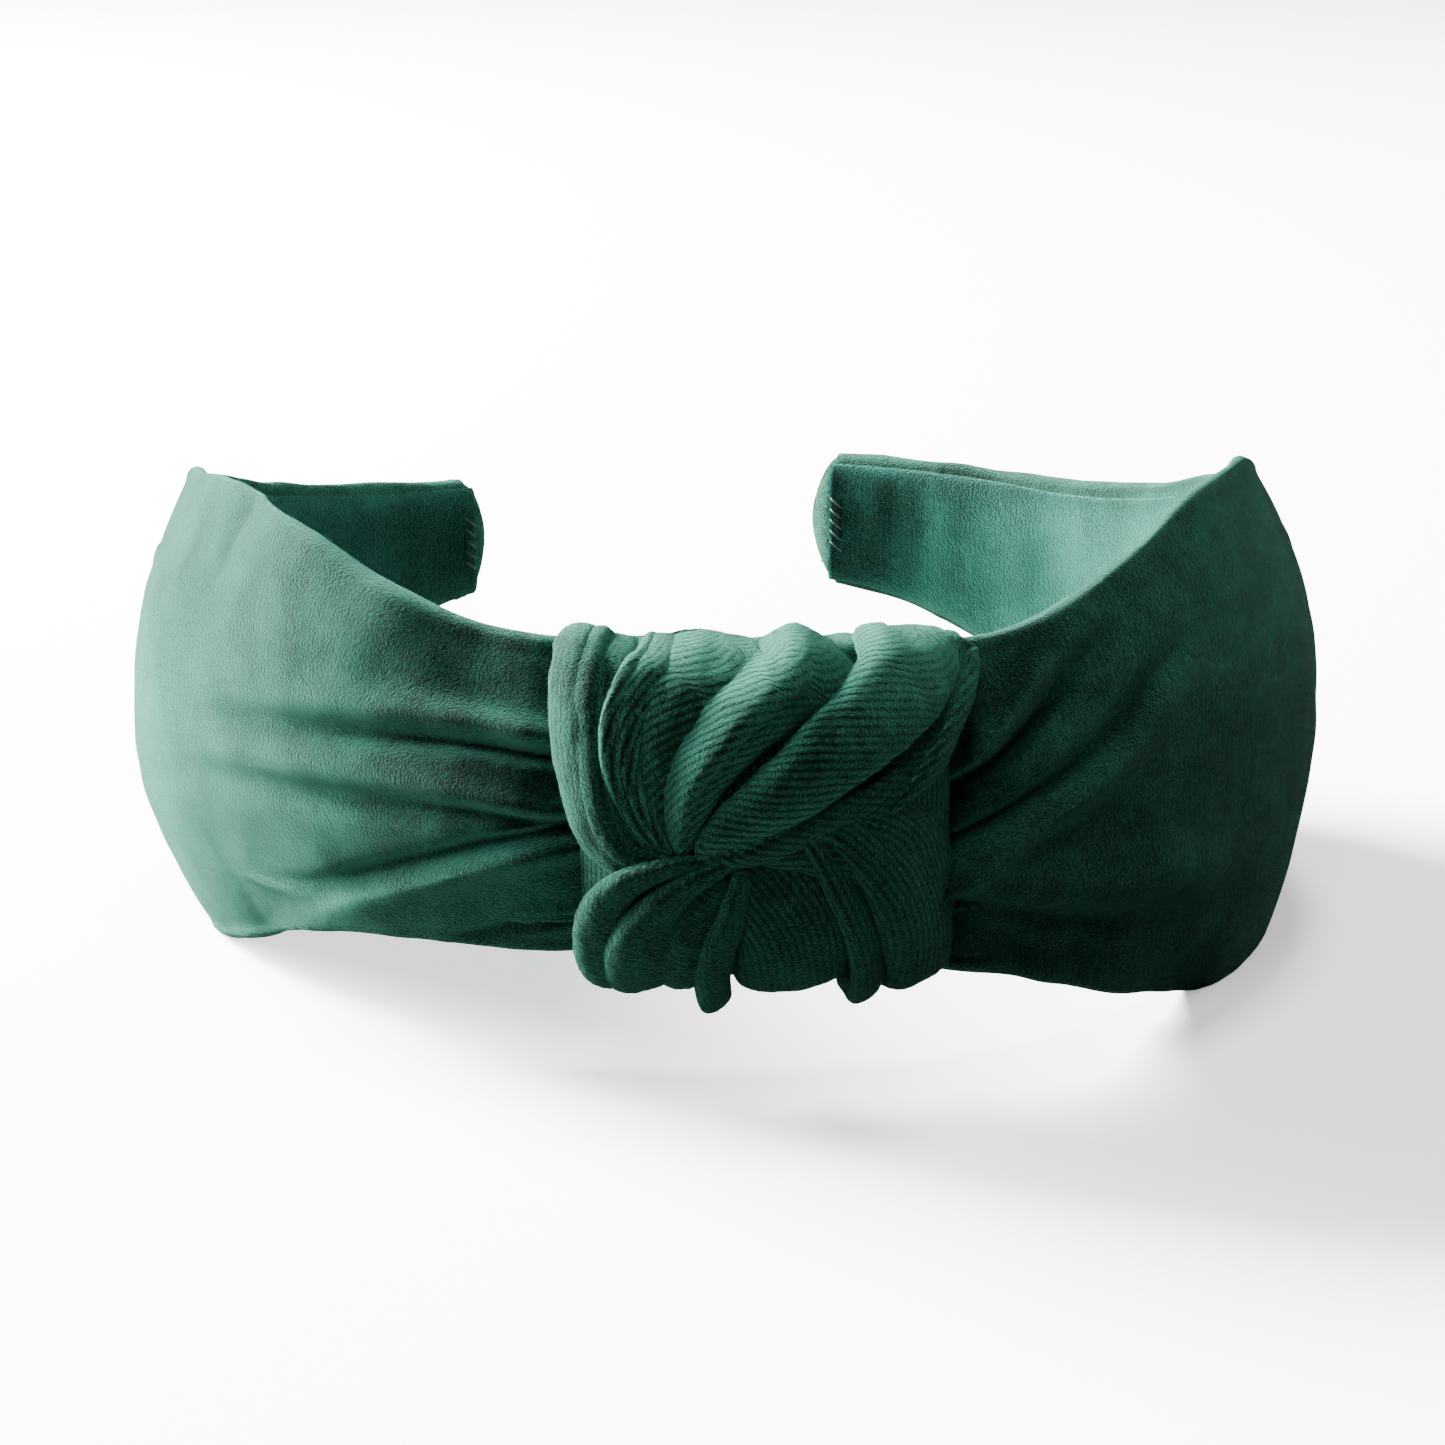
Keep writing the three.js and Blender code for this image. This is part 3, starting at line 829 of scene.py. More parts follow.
FAN = (
    Pleat(((-11.2, -1.2, 0.8, -1.6), (-13.4, 2, 1.0, -0.4), (-15.0, 6.5, 1.1, 0.5), (-15.6, 10.3, 1.1, 0.8),
           (-15.4, 14, 1.1, 0.8), (-14.5, 18, 1.2, 0.2), (-13.2, 20.5, 1.4, -0.5)), thick=1.9, grain=10),
    Pleat(((-10.9, -1.2, 0.8, -1.4), (-12.4, 1.8, 0.9, -0.7), (-13.9, 6, 1.1, -0.2), (-14.4, 10.6, 1.4, -0.1),
           (-14.1, 14.3, 1.7, -0.1), (-13.0, 18, 2.2, -0.3), (-12.0, 20.5, 2.8, -0.5)), thick=1.8, grain=15),
    Pleat(((-10.8, -0.5, 0.8, -2.0), (-11.8, 5, 2.4, -1.7), (-11.0, 11, 4.8, -1.3), (-8.8, 16.5, 7.2, -0.8),
           (-6.8, 20.3, 8.6, -0.5)), thick=2.6, grain=42, lean=-3),
    Pleat(((-10.4, -0.9, 0.8, -1.0), (-10.4, 3.1, 1.5, 0.3), (-9.5, 8.2, 2.3, 1.1), (-7.0, 13.4, 2.9, 1.3),
           (-4.2, 17.6, 3.6, 0.6), (-2.4, 20.4, 4.2, -0.3)), thick=2.6, grain=38, lean=20, skew=-0.3),
    Pleat(((-9.9, -0.9, 0.8, -1.2), (-9.0, 3.4, 1.2, -0.3), (-7.4, 8.0, 1.7, 0.1), (-4.2, 13.0, 2.2, 0.2),
           (-0.6, 17.4, 3.2, -0.1), (1.6, 20.4, 4.2, -0.5)), thick=2.2, grain=38, lean=-24),
    Pleat(((-9.0, -0.9, 1.0, -0.8), (-7.2, 1.2, 2.2, 0.3), (-3.2, 5.2, 3.5, 1.5), (0.7, 9.7, 4.1, 1.9),
           (4.8, 13.9, 4.8, 1.7), (8.2, 17.7, 5.6, 0.9), (9.6, 20.5, 6.4, -0.2)), thick=2.8, grain=42, lean=4,
          skew=0.2),
)
COLLAR = (
    Pleat(((-11.0, -1.6, 0.9, -1.6), (-13.2, 1.1, 1.5, -1.1), (-15.4, 6.8, 2.1, -0.9), (-16.6, 14, 2.6, -0.9),
           (-16.2, 20.4, 3.2, -0.8)), thick=1.8, grain=10),
    Pleat(((-11.2, -2.2, 1.2, -1.0), (-14.6, -2.3, 2.6, 0.1), (-17.0, 1.2, 3.3, 0.7), (-18.6, 8.0, 3.6, 0.9),
           (-19.6, 14.6, 3.4, 0.8), (-20.0, 20.4, 3.2, 0.2)), thick=2.8, grain=5, slump=0.1, lean=8,
          skew=0.1),
    Pleat(((-11.2, -1.8, 0.9, -0.6), (-14.4, -1.4, 1.4, 0.3), (-16.2, 2.2, 1.9, 0.8), (-17.4, 8.3, 2.1, 0.9),
           (-18.0, 15, 2.0, 0.6), (-18.1, 20.4, 1.9, 0.0)), thick=1.9, grain=5, slump=0.1, lean=3, skew=0.1),
)
LOWER_LOBE = (
    Pleat(((-7.0, -3.4, 1.2, -1.3), (-8.4, -8, 2.9, -1.1), (-9.4, -13, 3.6, -0.9), (-9.8, -19, 3.6, -0.9)),
          thick=2.0, grain=80),
    Pleat(((-6.2, -1.7, 0.8, -0.2), (-9.0, -3.8, 1.3, 0.6), (-11.6, -7.2, 2.1, 0.8), (-13.4, -11.5, 3.3, 0.4),
           (-13.8, -16, 4.2, 0.0), (-13.4, -20.3, 4.3, -0.3)), thick=2.4, grain=70, lean=-6, skew=0.35),
    Pleat(((-8.2, -1.5, 0.8, -0.2), (-11.6, -2.7, 1.3, 0.7), (-14.6, -5, 1.9, 0.9), (-16.8, -9.3, 2.6, 0.6),
           (-17.2, -14.5, 3.1, 0.1), (-16.2, -20.3, 3.2, -0.3)), thick=2.4, grain=65, lean=-4, skew=0.3),
)
ROLLED_FOLD = (
    Pleat(((-5.4, -2.2, 0.9, 0.1), (-6.3, -7.8, 1.5, 0.8), (-7.3, -12.4, 1.8, 1.1), (-7.8, -17, 1.9, 1.3),
           (-7.6, -20.6, 1.9, 1.8)), thick=2.2, grain=15, slump=0.12, skew=0.35),
)
SKIRT = (
    Pleat(((-3.3, 20.3, 22.5, -2.4), (-3.3, 10, 24.0, -2.2), (-3.3, 0, 24.0, -2.0), (-3.3, -10, 24.0, -2.2),
           (-3.3, -20.3, 21.0, -2.4)), thick=2.4, slump=0.02, skew=0.0, mesh_step=0.75),
    Pleat(((-6.0, -0.6, 2.0, -1.0), (0.0, 0.6, 4.6, -0.7), (6.0, -1.0, 6.4, -0.8), (9.0, -8, 7.2, -1.1),
           (9.6, -19, 6.0, -1.6)), thick=2.6, grain=-8),
    Pleat(((-5.8, -0.8, 1.6, -1.2), (-3.6, -4.5, 4.2, -0.8), (-1.6, -11, 6.4, -0.6),
           (-1.2, -19.0, 6.6, -0.5)), thick=2.6, grain=8),
    Pleat(((0.0, 2.4, 1.6, -1.4), (5.4, 5.2, 3.0, -1.0), (9.6, 9.2, 3.6, -1.0), (12.4, 14.0, 3.4, -1.0),
           (13.2, 20.0, 3.2, -1.4)), thick=2.2, grain=40, lean=4, skew=0.0),
    Pleat(((5.6, 3.0, 0.9, -1.0), (8.3, 5.9, 1.2, -0.2), (11.2, 10.2, 1.4, 0.0), (14.6, 15.2, 1.5, -0.3),
           (16.0, 18.4, 1.3, -1.0)), thick=1.9, grain=20, over=False),
    Pleat(((-1.4, 3.0, 1.2, -0.9), (2.4, 1.6, 2.8, -0.3), (6.6, -4.0, 4.6, -0.1), (9.0, -10.5, 5.4, 0.0),
           (10.2, -19.0, 5.2, 0.0)), thick=2.4, grain=-6, lean=-6, skew=0.35),
    Pleat(((-2.4, 3.0, 0.8, -1.0), (-0.2, 0.4, 1.3, -0.2), (1.9, -5.6, 1.7, 0.4), (3.4, -10.5, 1.9, 0.6),
           (4.6, -16.5, 2.0, 0.7), (5.1, -20.5, 2.0, 1.0)), thick=2.0, grain=0, lean=-14),
    Pleat(((-8.6, -1.5, 0.9, -0.2), (-5.4, -0.9, 1.4, 0.4), (-1.8, 1.2, 1.9, 0.3), (2.8, 4.0, 2.2, -0.2),
           (7.4, 7.0, 1.8, -0.9)), thick=1.9, grain=35, lean=-6, over=False),
)

LEFT_FOLDS = (
    Fold(((-18, 6.6), (-27.6, 7.8), (-35.2, 7.7), (-44.9, 6.9), (-60, 5.4)), 1.9, 3.2, 1.5),
    Fold(((-18, -1.0), (-28.6, 0.2), (-37.4, 0.1), (-48.9, -0.9), (-73.5, -4.1)), 1.6, 1.9, 1.5),
    Fold(((-18, -1.8), (-26.0, -4.1), (-32.5, -7.0), (-40.9, -11.1), (-48.1, -14.9), (-58, -19)),
         1.3, 2.8, 1.4, side=1),
    Fold(((-18, -12.6), (-24, -14.0), (-29, -15.6), (-34, -17.4)), 0.6, 2.2, 0.9),
)
RIGHT_FOLDS = (
    Fold(((9, 1.0), (15.6, 5.0), (20.7, 9.3), (26.7, 14.6), (33, 19)), 2.4, 2.8, 1.3),
    Fold(((8, -6.0), (13.0, -4.2), (18.9, -0.8), (27.0, 4.0), (34, 9.8), (42, 16)), 2.9, 3.2, 1.4, side=1),
    Fold(((8, -9.6), (14.5, -11.0), (25.2, -14.8), (38.4, -17.4), (50, -18), (70, -16)), 3.2, 3.0, 2.7),
    Fold(((9, -13), (17, -17.0), (24, -20.4), (34, -22.6), (52, -22)), 1.8, 1.7, 2.3, side=1),
)


class Effect(enum.Enum):
    """The surface effects that more than one finish uses."""

    RIBS = "woven_ribs"
    GRAIN = "pile_grain"
    PATCHES = "crushed_patches"
    LINT = "lint_specks"


class Nodes:
    """Builds a node tree, one node and its links at a time."""

    def __init__(self, tree: bpy.types.NodeTree) -> None:
        """Works in a tree."""
        self.tree = tree

    def feed(self, node: bpy.types.Node, inputs: dict[str | int, object]) -> None:
        """Sets a node's inputs.

        Args:
            node: The node.
            inputs: A value, or a socket to link from, for each input by its name or number.
        """
        for key, value in inputs.items():
            if isinstance(value, bpy.types.NodeSocket):
                self.tree.links.new(value, node.inputs[key])
            else:
                node.inputs[key].default_value = value

    def add(self, kind: str, inputs: dict[str | int, object] | None = None,
            **settings: object) -> bpy.types.Node:
        """Adds a node.

        Args:
            kind: The node's type.
            inputs: What its inputs are set to or linked from.
            settings: The node's own properties.

        Returns:
            The node.
        """
        made = self.tree.nodes.new(kind)
        for key, value in settings.items():
            setattr(made, key, value)
        self.feed(made, inputs or {})
        return made

    def math(self, operation: str, a: object, b: object = 0.0) -> bpy.types.NodeSocket:
        """The result of a sum on two values or sockets."""
        return self.add("ShaderNodeMath", {0: a, 1: b}, operation=operation).outputs[0]

    def plus(self, a: object, b: object) -> bpy.types.NodeSocket:
        """Two values or sockets added together."""
        return self.math("ADD", a, b)

    def times(self, a: object, b: object) -> bpy.types.NodeSocket:
        """Two values or sockets multiplied together."""
        return self.math("MULTIPLY", a, b)

    def blend(self, share: object, a: tuple, b: tuple) -> bpy.types.NodeSocket:
        """The colour at a share between two colours, the first of which may be a socket."""
        ends = [end if isinstance(end, bpy.types.NodeSocket) else (*end, 1) for end in (a, b)]
        return self.add("ShaderNodeMix", {0: share, 6: ends[0], 7: ends[1]}, data_type="RGBA").outputs[2]

    def noise(self, vector: object, scale: object, **more: float) -> bpy.types.Node:
        """Noise at a vector and a scale; detail and roughness are given by name."""
        named = {key.title(): value for key, value in more.items()}
        return self.add("ShaderNodeTexNoise", {"Vector": vector, "Scale": scale, **named})


class Effects:
    """The node groups, each built once."""

    def __init__(self) -> None:
        """Builds every group."""
        self.groups: dict[Effect, bpy.types.NodeTree] = {}
        self.make(Effect.RIBS, {"Spacing": 0.86, "Waver": 0.34}, self.ribs)
        self.make(Effect.GRAIN, {"Scale": 3600.0}, self.grain)
        self.make(Effect.PATCHES, {"Scale": 95.0}, self.patches)
        self.make(Effect.LINT, {"Scale": 210.0, "Share": 0.1}, self.lint)

    def make(self, effect: Effect, sizes: dict[str, float], shape: Callable[..., object]) -> None:
        """Makes a group with a vector input, the named sizes and one output.

        Args:
            effect: Which effect.
            sizes: Its size inputs and their usual values.
            shape: Builds its inside, from the nodes and its inputs, and returns the output.
        """
        tree = bpy.data.node_groups.new(effect.value, "ShaderNodeTree")
        sockets = tree.interface
        sockets.new_socket("Vector", in_out="INPUT", socket_type="NodeSocketVector")
        for name, value in sizes.items():
            sockets.new_socket(name, in_out="INPUT", socket_type="NodeSocketFloat").default_value = value
        sockets.new_socket("Amount", in_out="OUTPUT", socket_type="NodeSocketFloat")
        nodes = Nodes(tree)
        given, out = nodes.add("NodeGroupInput").outputs, nodes.add("NodeGroupOutput")
        nodes.feed(out, {"Amount": shape(nodes, *(given[name] for name in ("Vector", *sizes)))})
        self.groups[effect] = tree

    @staticmethod
    def ribs(nodes: Nodes, vector: object, spacing: object, waver: object) -> bpy.types.NodeSocket:
        """The fine ribs of the woven ground, which show through the pile.

        Args:
            nodes: The group's nodes.
            vector: Places in metres.
            spacing: From rib to rib, in millimetres.
            waver: How far the ribs wander, as a share of the spacing.

        Returns:
            The height.
        """
        drift = nodes.noise(vector, 380.0, detail=1.0).outputs["Fac"]
        shift = nodes.times(nodes.math("SUBTRACT", drift, 0.5), waver)
        across = nodes.add("ShaderNodeSeparateXYZ", {0: vector}).outputs["X"]
        along = nodes.math("DIVIDE", nodes.times(across, 1 / MM), spacing)
        phase = nodes.times(nodes.plus(along, shift), 2 * math.pi)
        wave = nodes.times(nodes.plus(nodes.math("SINE", phase), 1.0), 0.5)
        return nodes.math("POWER", wave, 0.7)

    @staticmethod
    def grain(nodes: Nodes, vector: object, scale: object) -> bpy.types.NodeSocket:
        """The pile's own fine grain."""
        return nodes.noise(vector, scale, detail=3.0, roughness=0.65).outputs["Fac"]

    @staticmethod
    def patches(nodes: Nodes, vector: object, scale: object) -> bpy.types.NodeSocket:
        """The soft blotches where the pile lies another way.

        Args:
            nodes: The group's nodes.
            vector: Places in metres.
            scale: How closely the blotches lie.

        Returns:
            From 0 off a blotch to 1 on it.
        """
        soft = nodes.noise(vector, scale, detail=5.0, roughness=0.62, distortion=0.6).outputs["Fac"]
        span = {"Value": soft, "From Min": 0.36, "From Max": 0.66}
        return nodes.add("ShaderNodeMapRange", span, interpolation_type="SMOOTHSTEP").outputs["Result"]

    @staticmethod
    def lint(nodes: Nodes, vector: object, scale: object, share: object) -> bpy.types.NodeSocket:
        """A few pale fibres that cling to the pile.

        Args:
            nodes: The group's nodes.
            vector: Places in metres.
            scale: How closely the fibres lie.
            share: The share of the places that have a fibre.

        Returns:
            1 on a fibre and 0 elsewhere.
        """
        bend = nodes.noise(vector, 500.0).outputs["Color"]
        moved = nodes.add("ShaderNodeVectorMath", {0: bend, "Scale": 0.0016}, operation="SCALE").outputs[0]
        place = nodes.add("ShaderNodeVectorMath", {0: vector, 1: moved}, operation="ADD").outputs[0]
        long = nodes.add("ShaderNodeMapping", {
            "Vector": place, "Scale": (1.0, 1.0, 7.0), "Rotation": (0.7, 0.5, 0.2)}).outputs[0]
        cell = nodes.add("ShaderNodeTexVoronoi", {"Vector": long, "Scale": scale}, feature="F1").outputs
        thin = nodes.math("LESS_THAN", cell["Distance"], 0.075)
        pick = nodes.add("ShaderNodeSeparateColor", {0: cell["Color"]}).outputs[0]
        return nodes.times(thin, nodes.math("LESS_THAN", pick, share))


class Surface(Nodes):
    """A material's nodes, with the piece's own places and the shared effects at hand."""

    def __init__(self, tree: bpy.types.NodeTree, effects: Effects) -> None:
        """Works in a material's tree.

        Args:
            tree: The tree.
            effects: The shared groups.
        """
        super().__init__(tree)
        self.effects = effects
        places = self.add("ShaderNodeTexCoord").outputs
        self.weave, self.place = places["UV"], places["Object"]

    def effect(self, effect: Effect, vector: object = None, **sizes: float) -> bpy.types.NodeSocket:
        """Puts a shared effect on the surface.

        Args:
            effect: Which effect.
            vector: The socket that gives its places; the object's own places if there is none.
            sizes: Its sizes by name, where they aren't the usual ones.

        Returns:
            Its output.
        """
        made = self.add("ShaderNodeGroup", node_tree=self.effects.groups[effect])
        self.feed(made, {"Vector": self.place if vector is None else vector, **sizes})
        return made.outputs[0]


@dataclass(frozen=True)
class Finish:
    """What every finish has: a name and a way to make its material."""

    name: str

    def build(self, on: Surface) -> dict[str, object]:
        """Builds the finish, which each kind of finish does in its own way."""
        raise NotImplementedError

    def material(self, effects: Effects) -> bpy.types.Material:
        """Makes the material.

        Args:
            effects: The shared groups.

        Returns:
            The material.
        """
        material = bpy.data.materials.new(self.name)
        material.use_nodes = True
        surface = Surface(material.node_tree, effects)
        inputs = self.build(surface)
        raised = {"Height": inputs.pop("Height"), "Distance": inputs.pop("Depth"), "Strength": 1.0}
        inputs["Normal"] = surface.add("ShaderNodeBump", raised).outputs[0]
        surface.feed(material.node_tree.nodes["Principled BSDF"], inputs)
        return material


@dataclass(frozen=True)
class Velvet(Finish):
    """Crushed velvet: a deep pile over a ribbed ground, with a strong sheen."""

    deep: tuple[float, float, float] = (0.0012, 0.009, 0.0055)
    lit: tuple[float, float, float] = (0.012, 0.088, 0.05)
    # how strong the ribs are, in the bump and in the painted highlight and shade along them
    ribs: float = 0.8
    sheen: float = 0.55
    sheen_roughness: float = 0.14
    sheen_tint: tuple[float, float, float] = (0.22, 1.0, 0.76)
    mottle_scale: float = 420.0
    lint_colour: tuple[float, float, float] = (0.32, 0.3, 0.24)

    def build(self, on: Surface) -> dict[str, object]:
        """Builds the finish.

        Args:
            on: The material's nodes.

        Returns:
            The shader's inputs, and the height and depth of its bump.
        """
        ribs = on.effect(Effect.RIBS, on.weave)
        grain = on.effect(Effect.GRAIN)
        patches = on.effect(Effect.PATCHES)
        mottle = on.effect(Effect.PATCHES, Scale=self.mottle_scale)
        worn = on.plus(on.times(patches, 0.45), on.times(mottle, 0.22))
        rib_relief_and_highlight = on.times(ribs, on.plus(on.times(grain, 2.6), -0.3))
        # tips: lighter on the rib crests and darker between the ribs, a painted highlight and shade that
        # follows the rib bump, plus random grain tone.
        tips = on.plus(on.times(on.math("SUBTRACT", rib_relief_and_highlight, 0.4), 0.9 * self.ribs),
                       on.times(on.math("SUBTRACT", grain, 0.5), 2.4))
        pile = on.blend(on.plus(worn, tips), self.deep, self.lit)
        fine = on.plus(on.times(rib_relief_and_highlight, self.ribs), on.times(grain, 2.2))
        return {
            "Base Color": on.blend(on.times(on.effect(Effect.LINT), 0.5), pile, self.lint_colour),
            "Height": on.plus(fine, on.times(patches, 0.35)),
            "Depth": 0.0005,
            "Roughness": 0.92,
            "Specular IOR Level": 0.06,
            "Sheen Weight": self.sheen,
            "Sheen Roughness": self.sheen_roughness,
            "Sheen Tint": (*self.sheen_tint, 1),
        }


@dataclass(frozen=True)
class Foam(Finish):
    """Open-cell foam."""

    colour: tuple[float, float, float] = (0.72, 0.68, 0.58)
    pit_shade_colour: tuple[float, float, float] = (0.396, 0.374, 0.319)

    def build(self, on: Surface) -> dict[str, object]:
        """Builds the finish.

        Args:
            on: The material's nodes.

        Returns:
            The shader's inputs, and the height and depth of its bump.
        """
        cells_and_pit_shade = on.add("ShaderNodeTexVoronoi", {"Vector": on.place, "Scale": 1300.0}).outputs["Distance"]
        return {
            # Painted shade: the colour darkens towards each cell's middle, where the bump sinks into a pit.
            "Base Color": on.blend(cells_and_pit_shade, self.pit_shade_colour, self.colour),
            "Height": on.plus(cells_and_pit_shade, on.times(on.effect(Effect.GRAIN, Scale=900.0), 0.4)),
            "Depth": 0.0003,
            "Roughness": 0.95,
        }


@dataclass(frozen=True)
class MouldedPlastic(Finish):
    """Matt injection-moulded plastic."""

    colour: tuple[float, float, float] = (0.012, 0.014, 0.013)
    scuff_colour: tuple[float, float, float] = (0.0264, 0.0308, 0.0286)

    def build(self, on: Surface) -> dict[str, object]:
        """Builds the finish.

        Args:
            on: The material's nodes.

        Returns:
            The shader's inputs, and the height and depth of its bump.
        """
        scuffs = on.effect(Effect.PATCHES, Scale=160.0)
        return {
            "Base Color": on.blend(on.times(scuffs, 0.4), self.colour, self.scuff_colour),
            "Height": on.effect(Effect.GRAIN, Scale=1800.0),
            "Depth": 0.00004,
            "Roughness": on.plus(on.times(scuffs, 0.14), 0.42),
        }


@dataclass(frozen=True)
class Thread(Finish):
    """Twisted sewing thread."""

    colour: tuple[float, float, float] = (0.003, 0.028, 0.018)
    lit: tuple[float, float, float] = (0.0075, 0.07, 0.045)

    def build(self, on: Surface) -> dict[str, object]:
        """Builds the finish.

        Args:
            on: The material's nodes.

        Returns:
            The shader's inputs, and the height and depth of its bump.
        """
        twist = on.effect(Effect.RIBS, on.weave, Spacing=0.3, Waver=0.1)
        return {
            "Base Color": on.blend(twist, self.colour, self.lit),
            "Height": on.plus(twist, on.times(on.effect(Effect.GRAIN, Scale=4000.0), 0.5)),
            "Depth": 0.0001,
            "Roughness": 0.55,
            "Sheen Weight": 0.2,
        }


# Painted shade: the right arm's cover and tip (the away finish) and the knot's skirt get darker copies of the
# velvet, with less sheen, for the side away from the light.
PAINTED_SHADE_DEEP = (0.001, 0.007, 0.0042)
FINISHES: dict[str, Finish] = {
    "velvet": Velvet("green_velvet", ribs=0.06),
    "knot": Velvet("green_velvet_knot"),
    "away": Velvet("green_velvet_painted_shade", PAINTED_SHADE_DEEP, (0.01, 0.07, 0.039), ribs=0.06, sheen=0.36),
    "skirt": Velvet("green_velvet_skirt_painted_shade", PAINTED_SHADE_DEEP, (0.009, 0.065, 0.036), ribs=0.6, sheen=0.34),
    "smooth": Velvet("green_velvet_folds", ribs=0.2, sheen=0.34),
    "lining": Velvet("green_velvet_lining", (0.0015, 0.018, 0.013), (0.008, 0.085, 0.062), ribs=0.06),
    "foam": Foam("cream_foam"),
    "thread": Thread("green_thread"),
    "plastic": MouldedPlastic("matt_plastic"),
}


@dataclass(frozen=True)
class Lamp:
    """A soft square light that faces the band."""

    name: str
    place: tuple[float, float, float]  # in metres from the knot's height at the band's middle
    size: float
    power: float
    colour: tuple[float, float, float] = (1.0, 1.0, 1.0)

    def build(self, aim: Vector) -> None:
        """Makes the light.

        Args:
            aim: What it faces.
        """
        light = bpy.data.lights.new(self.name, "AREA")
        light.size = self.size
        light.energy = self.power
        light.color = self.colour
        made = bpy.data.objects.new(self.name, light)
        made.location = aim + Vector(self.place)
        made.rotation_mode = "QUATERNION"
        made.rotation_quaternion = Vector(self.place).to_track_quat("Z", "Y")
        bpy.context.scene.collection.objects.link(made)


DAYLIGHT = (1.0, 0.99, 0.96)
LAMPS = (
    Lamp("window", (-1.0, 0.82, 0.58), 0.7, 520.0, DAYLIGHT),
    Lamp("low_window", (-1.25, 0.55, 0.2), 0.3, 100.0, DAYLIGHT),
    Lamp("overhead", (0.05, 0.1, 1.3), 0.3, 18.0),
    Lamp("rim", (1.1, 0.5, 0.35), 0.6, 12.0),
    Lamp("front", (-0.35, -0.85, 1.05), 0.3, 6.0),
)


@dataclass
class Studio:
    """The camera, the pale floor and the soft lights."""

    band: Frame3d
    azimuth: float = -7.0
    elevation: float = 16.0
    distance: float = 478.0
    below_knot: float = 10.0
    focal_length: float = 92.2
    sensor_width: float = 36.0
    floor_size: float = 6.0
    surround: float = 0.06  # the white surround's strength on the band
    surround_seen: float = 4.0  # and what the camera sees on top of it

    def make_camera(self) -> None:
        """The camera, at the height and turn of someone looking slightly down on the band."""
        a, e = math.radians(self.azimuth), math.radians(self.elevation)
        back = Vector((math.sin(a) * math.cos(e), -math.cos(a) * math.cos(e), math.sin(e)))
        aim = Vector((self.band.centre_x, self.band.centre_y, self.band.knot_height - self.below_knot))
        lens = bpy.data.cameras.new("camera")
        lens.lens = self.focal_length
        lens.sensor_width = self.sensor_width
        camera = bpy.data.objects.new("camera", lens)
        camera.location = (aim + back * self.distance) * MM
        camera.rotation_mode = "QUATERNION"
        camera.rotation_quaternion = (-back).to_track_quat("-Z", "Y")
        bpy.context.scene.collection.objects.link(camera)
        bpy.context.scene.camera = camera

    def make_floor(self) -> None:
        """A plain pale floor, which throws little light back up on the band."""
        bpy.ops.mesh.primitive_plane_add(size=self.floor_size, location=(0, 0, 0))
        floor = bpy.context.active_object
        floor.name = "floor"
        material = bpy.data.materials.new("pale_floor")
        material.use_nodes = True
        nodes = Nodes(material.node_tree)
        seen = nodes.add("ShaderNodeLightPath").outputs["Is Camera Ray"]
        nodes.feed(material.node_tree.nodes["Principled BSDF"], {
            "Base Color": nodes.blend(seen, (0.06, 0.06, 0.058), (0.94, 0.94, 0.93)),
            "Emission Color": nodes.blend(seen, (0, 0, 0), (0.5, 0.5, 0.495)),
            "Emission Strength": 1.0,
            "Roughness": 0.9,
        })
        floor.data.materials.append(material)

    def make_world(self) -> None:
        """A white surround that the camera sees at full strength and the band more dimly."""
        world = bpy.data.worlds.new("surround")
        world.use_nodes = True
        nodes = Nodes(world.node_tree)
        seen = nodes.add("ShaderNodeLightPath").outputs["Is Camera Ray"]
        strength = nodes.plus(nodes.times(seen, self.surround_seen), self.surround)
        nodes.feed(world.node_tree.nodes["Background"], {"Strength": strength, "Color": (1, 1, 0.985, 1)})
        bpy.context.scene.world = world

    def set_up(self) -> None:
        """Makes all of it."""
        self.make_camera()
        self.make_floor()
        aim = Vector((self.band.centre_x, self.band.centre_y, self.band.knot_height)) * MM
        for lamp in LAMPS:
            lamp.build(aim)
        self.make_world()


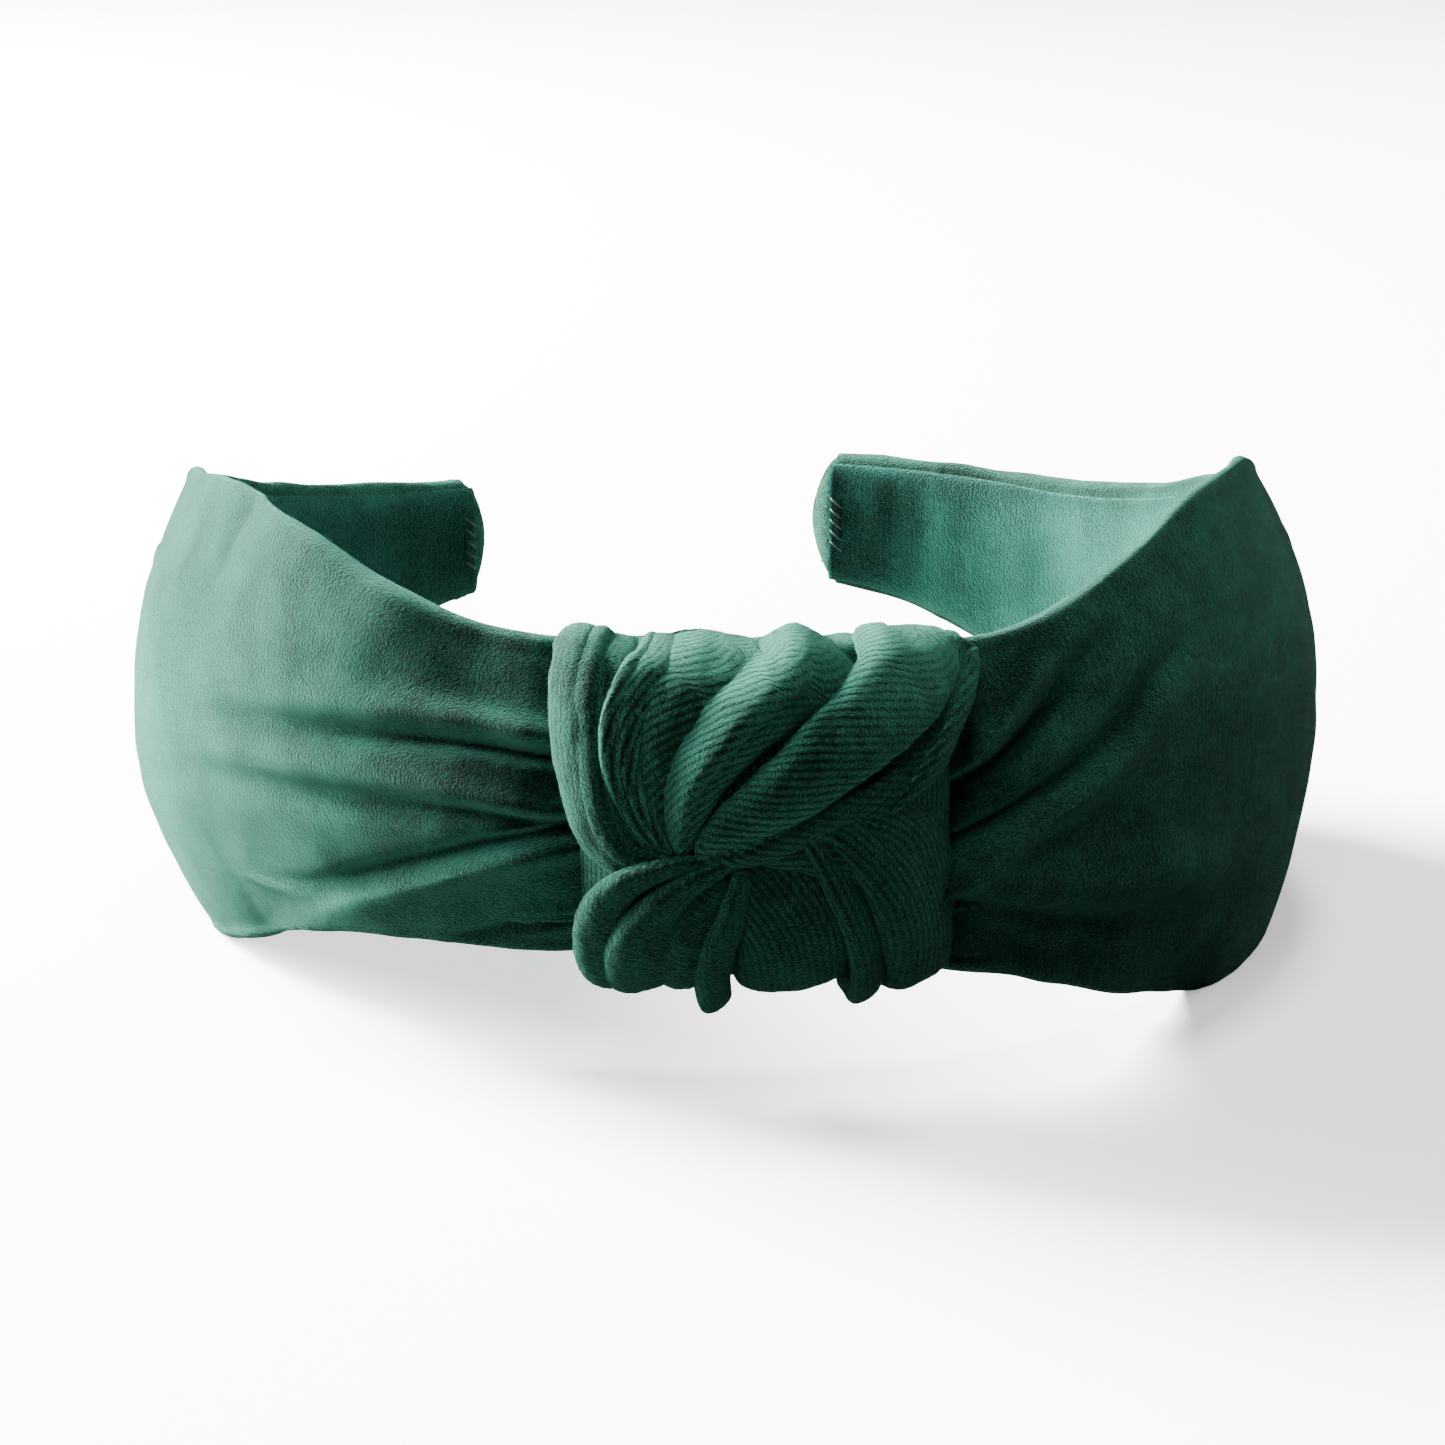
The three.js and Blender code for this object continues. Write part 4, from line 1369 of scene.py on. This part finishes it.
@dataclass
class Headband:
    """The whole headband."""

    band: Frame3d
    finishes: dict[str, bpy.types.Material]
    bend_before: float = 3.4  # degrees before and past the flex point, which bend_with reads; nothing bends the covers or linings there
    bend_past: float = 4.6
    bend_radius: float = 69.0
    pad_start: float = -16.5  # the crown's pad, in degrees and millimetres
    pad_end: float = 9.5
    pad_half_thick: float = 0.95
    pad_half_height: float = 11.3
    pad_rings: int = 44
    pad_columns: int = 48

    def arms(self) -> tuple[Arm, Arm]:
        """The two arms, each with its own edges and folds.

        Returns:
            The left arm and the right one.
        """
        rest = self.band.knot_height
        left = Arm(self.band, "left", -1, 157.0, -24.54,
                   Edge(18.6, 28.4, 9.6, 24, 60, 66, 157), Edge(18.4, rest + 0.5, 7.4, 36, 88, 102, 157),
                   -17.0, LEFT_FOLDS, 4.2)
        right = Arm(self.band, "right", 1, 162.0, 17.94,
                    Edge(17.6, 28.8, 11.4, 16, 52, 60, 132), Edge(18.0, rest + 0.5, 7.6, 4, 54, 94, 162),
                    7.0, RIGHT_FOLDS, 11.7, bottom_drop=4.6)
        return left, right

    def dress(self, piece: bpy.types.Object, finish: str, slot: str, *nodes: str) -> None:
        """Gives a piece its material, hides the CAD nodes that it replaces and logs it.

        Args:
            piece: The piece.
            finish: Its finish, by its name in FINISHES.
            slot: What it is made of; not used.
            nodes: The CAD nodes that it replaces.
        """
        piece.data.materials.clear()
        piece.data.materials.append(self.finishes[finish])
        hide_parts(*nodes)
        LOG.info("%s: %d faces", piece.name, len(piece.data.polygons))

    def bend_with(self, piece: bpy.types.Object, arm: Arm) -> None:
        """Bakes the placement of a piece that crosses an arm's flex point into its mesh; nothing makes it
        bend there.

        Args:
            piece: The cover or lining.
            arm: The arm whose flex point it crosses.
        """
        places = arm.flex - arm.sign * self.bend_before, arm.flex + arm.sign * self.bend_past
        start, end = (tuple(self.band.point(np.array(at), self.bend_radius, 0.0) * MM) for at in places)
        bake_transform(piece)

    def build_arm(self, arm: Arm) -> None:
        """Builds one arm's pieces and fastens the foam pad, tip and stitches to its body.

        Args:
            arm: The arm.
        """
        side, body = arm.name, f"arm_{arm.name}"
        # The right arm takes the away finish, a darker copy of the velvet: painted shade for the side away
        # from the light.
        velvet = "velvet" if arm.sign < 0 else "away"
        cover = arm.make_cover()
        self.dress(cover, velvet, "velvet", f"velvet_panel_{side}")
        self.bend_with(cover, arm)
        foam = arm.make_foam()
        self.dress(foam, "foam", "padding_foam", f"foam_{side}")
        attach(foam, body)
        lining = arm.make_lining(Knot.station + arm.sign * GAP_IN_LINING)
        self.dress(lining, "lining", "velvet_lining", f"lining_{side}", "lining_crown")
        self.bend_with(lining, arm)
        tip = arm.make_tip()
        self.dress(tip, velvet, "velvet", f"tip_fold_{side}")
        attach(tip, body)
        thread = arm.make_stitches()
        self.dress(thread, "thread", "thread", f"tip_thread_{side}")
        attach(thread, body)

    def build_knot(self, knot: Knot) -> None:
        """Builds the knot's lobes, wrap and stitches, which ride on the crown.

        Args:
            knot: The knot.
        """
        lobes = (
            ("fan", "knot", FAN, (0.044, 0.056)),
            ("collar", "smooth", COLLAR, (0.016, 0.05)),
            ("lower_lobe", "smooth", LOWER_LOBE, (0.022, 0.04)),
            ("rolled_fold", "smooth", ROLLED_FOLD, (0.01, 0.024)),
            ("skirt", "skirt", SKIRT, (0.06, 0.075)),
        )
        for name, finish, pleats, flat in lobes:
            lobe = knot.make_lobe(f"{name}_pleats", pleats)
            self.dress(lobe, finish, "velvet", f"knot_{name}")
            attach(lobe, "crown")
        wrap = knot.make_wrap()
        self.dress(wrap, "smooth", "velvet", "knot_wrap")
        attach(wrap, "crown")
        tack = knot.make_stitches()
        self.dress(tack, "thread", "thread", "knot_tack_thread")
        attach(tack, "crown")

    def build_crown_foam(self) -> None:
        """Builds the thin pad over the core behind the knot."""
        station = np.linspace(self.pad_start, self.pad_end, self.pad_rings)[:, None]
        turn = (np.arange(self.pad_columns) + 0.5)[None, :] / self.pad_columns * 2 * math.pi
        middle = self.band.core_radius + GAP + self.pad_half_thick
        radius = middle + self.pad_half_thick * squared(np.cos(turn), 0.5)
        height = self.pad_half_height * squared(np.sin(turn), 0.35)
        shell = Shell()
        shell.add(self.band.point(*np.broadcast_arrays(station, radius, height)))
        pad = shell.build("foam_pad_crown")
        self.dress(pad, "foam", "padding_foam", "foam_crown")
        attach(pad, "crown")

    def build(self) -> None:
        """Builds every piece and finishes the cores, which stay as they are in the frame."""
        for name in ("core_crown", "core_left", "core_right"):
            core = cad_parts[name]
            core.data.materials.clear()
            core.data.materials.append(self.finishes["plastic"])
        for arm in self.arms():
            self.build_arm(arm)
        self.build_crown_foam()
        self.build_knot(Knot(self.band))


def main() -> None:
    """Builds the studio and the headband."""
    logging.basicConfig(level=logging.INFO, format="%(name)s: %(message)s")
    bpy.ops.object.select_all(action="DESELECT")
    band = Frame3d()
    Studio(band).set_up()
    effects = Effects()
    finishes = {name: finish.material(effects) for name, finish in FINISHES.items()}
    Headband(band, finishes).build()


if __name__ == "__main__":
    main()
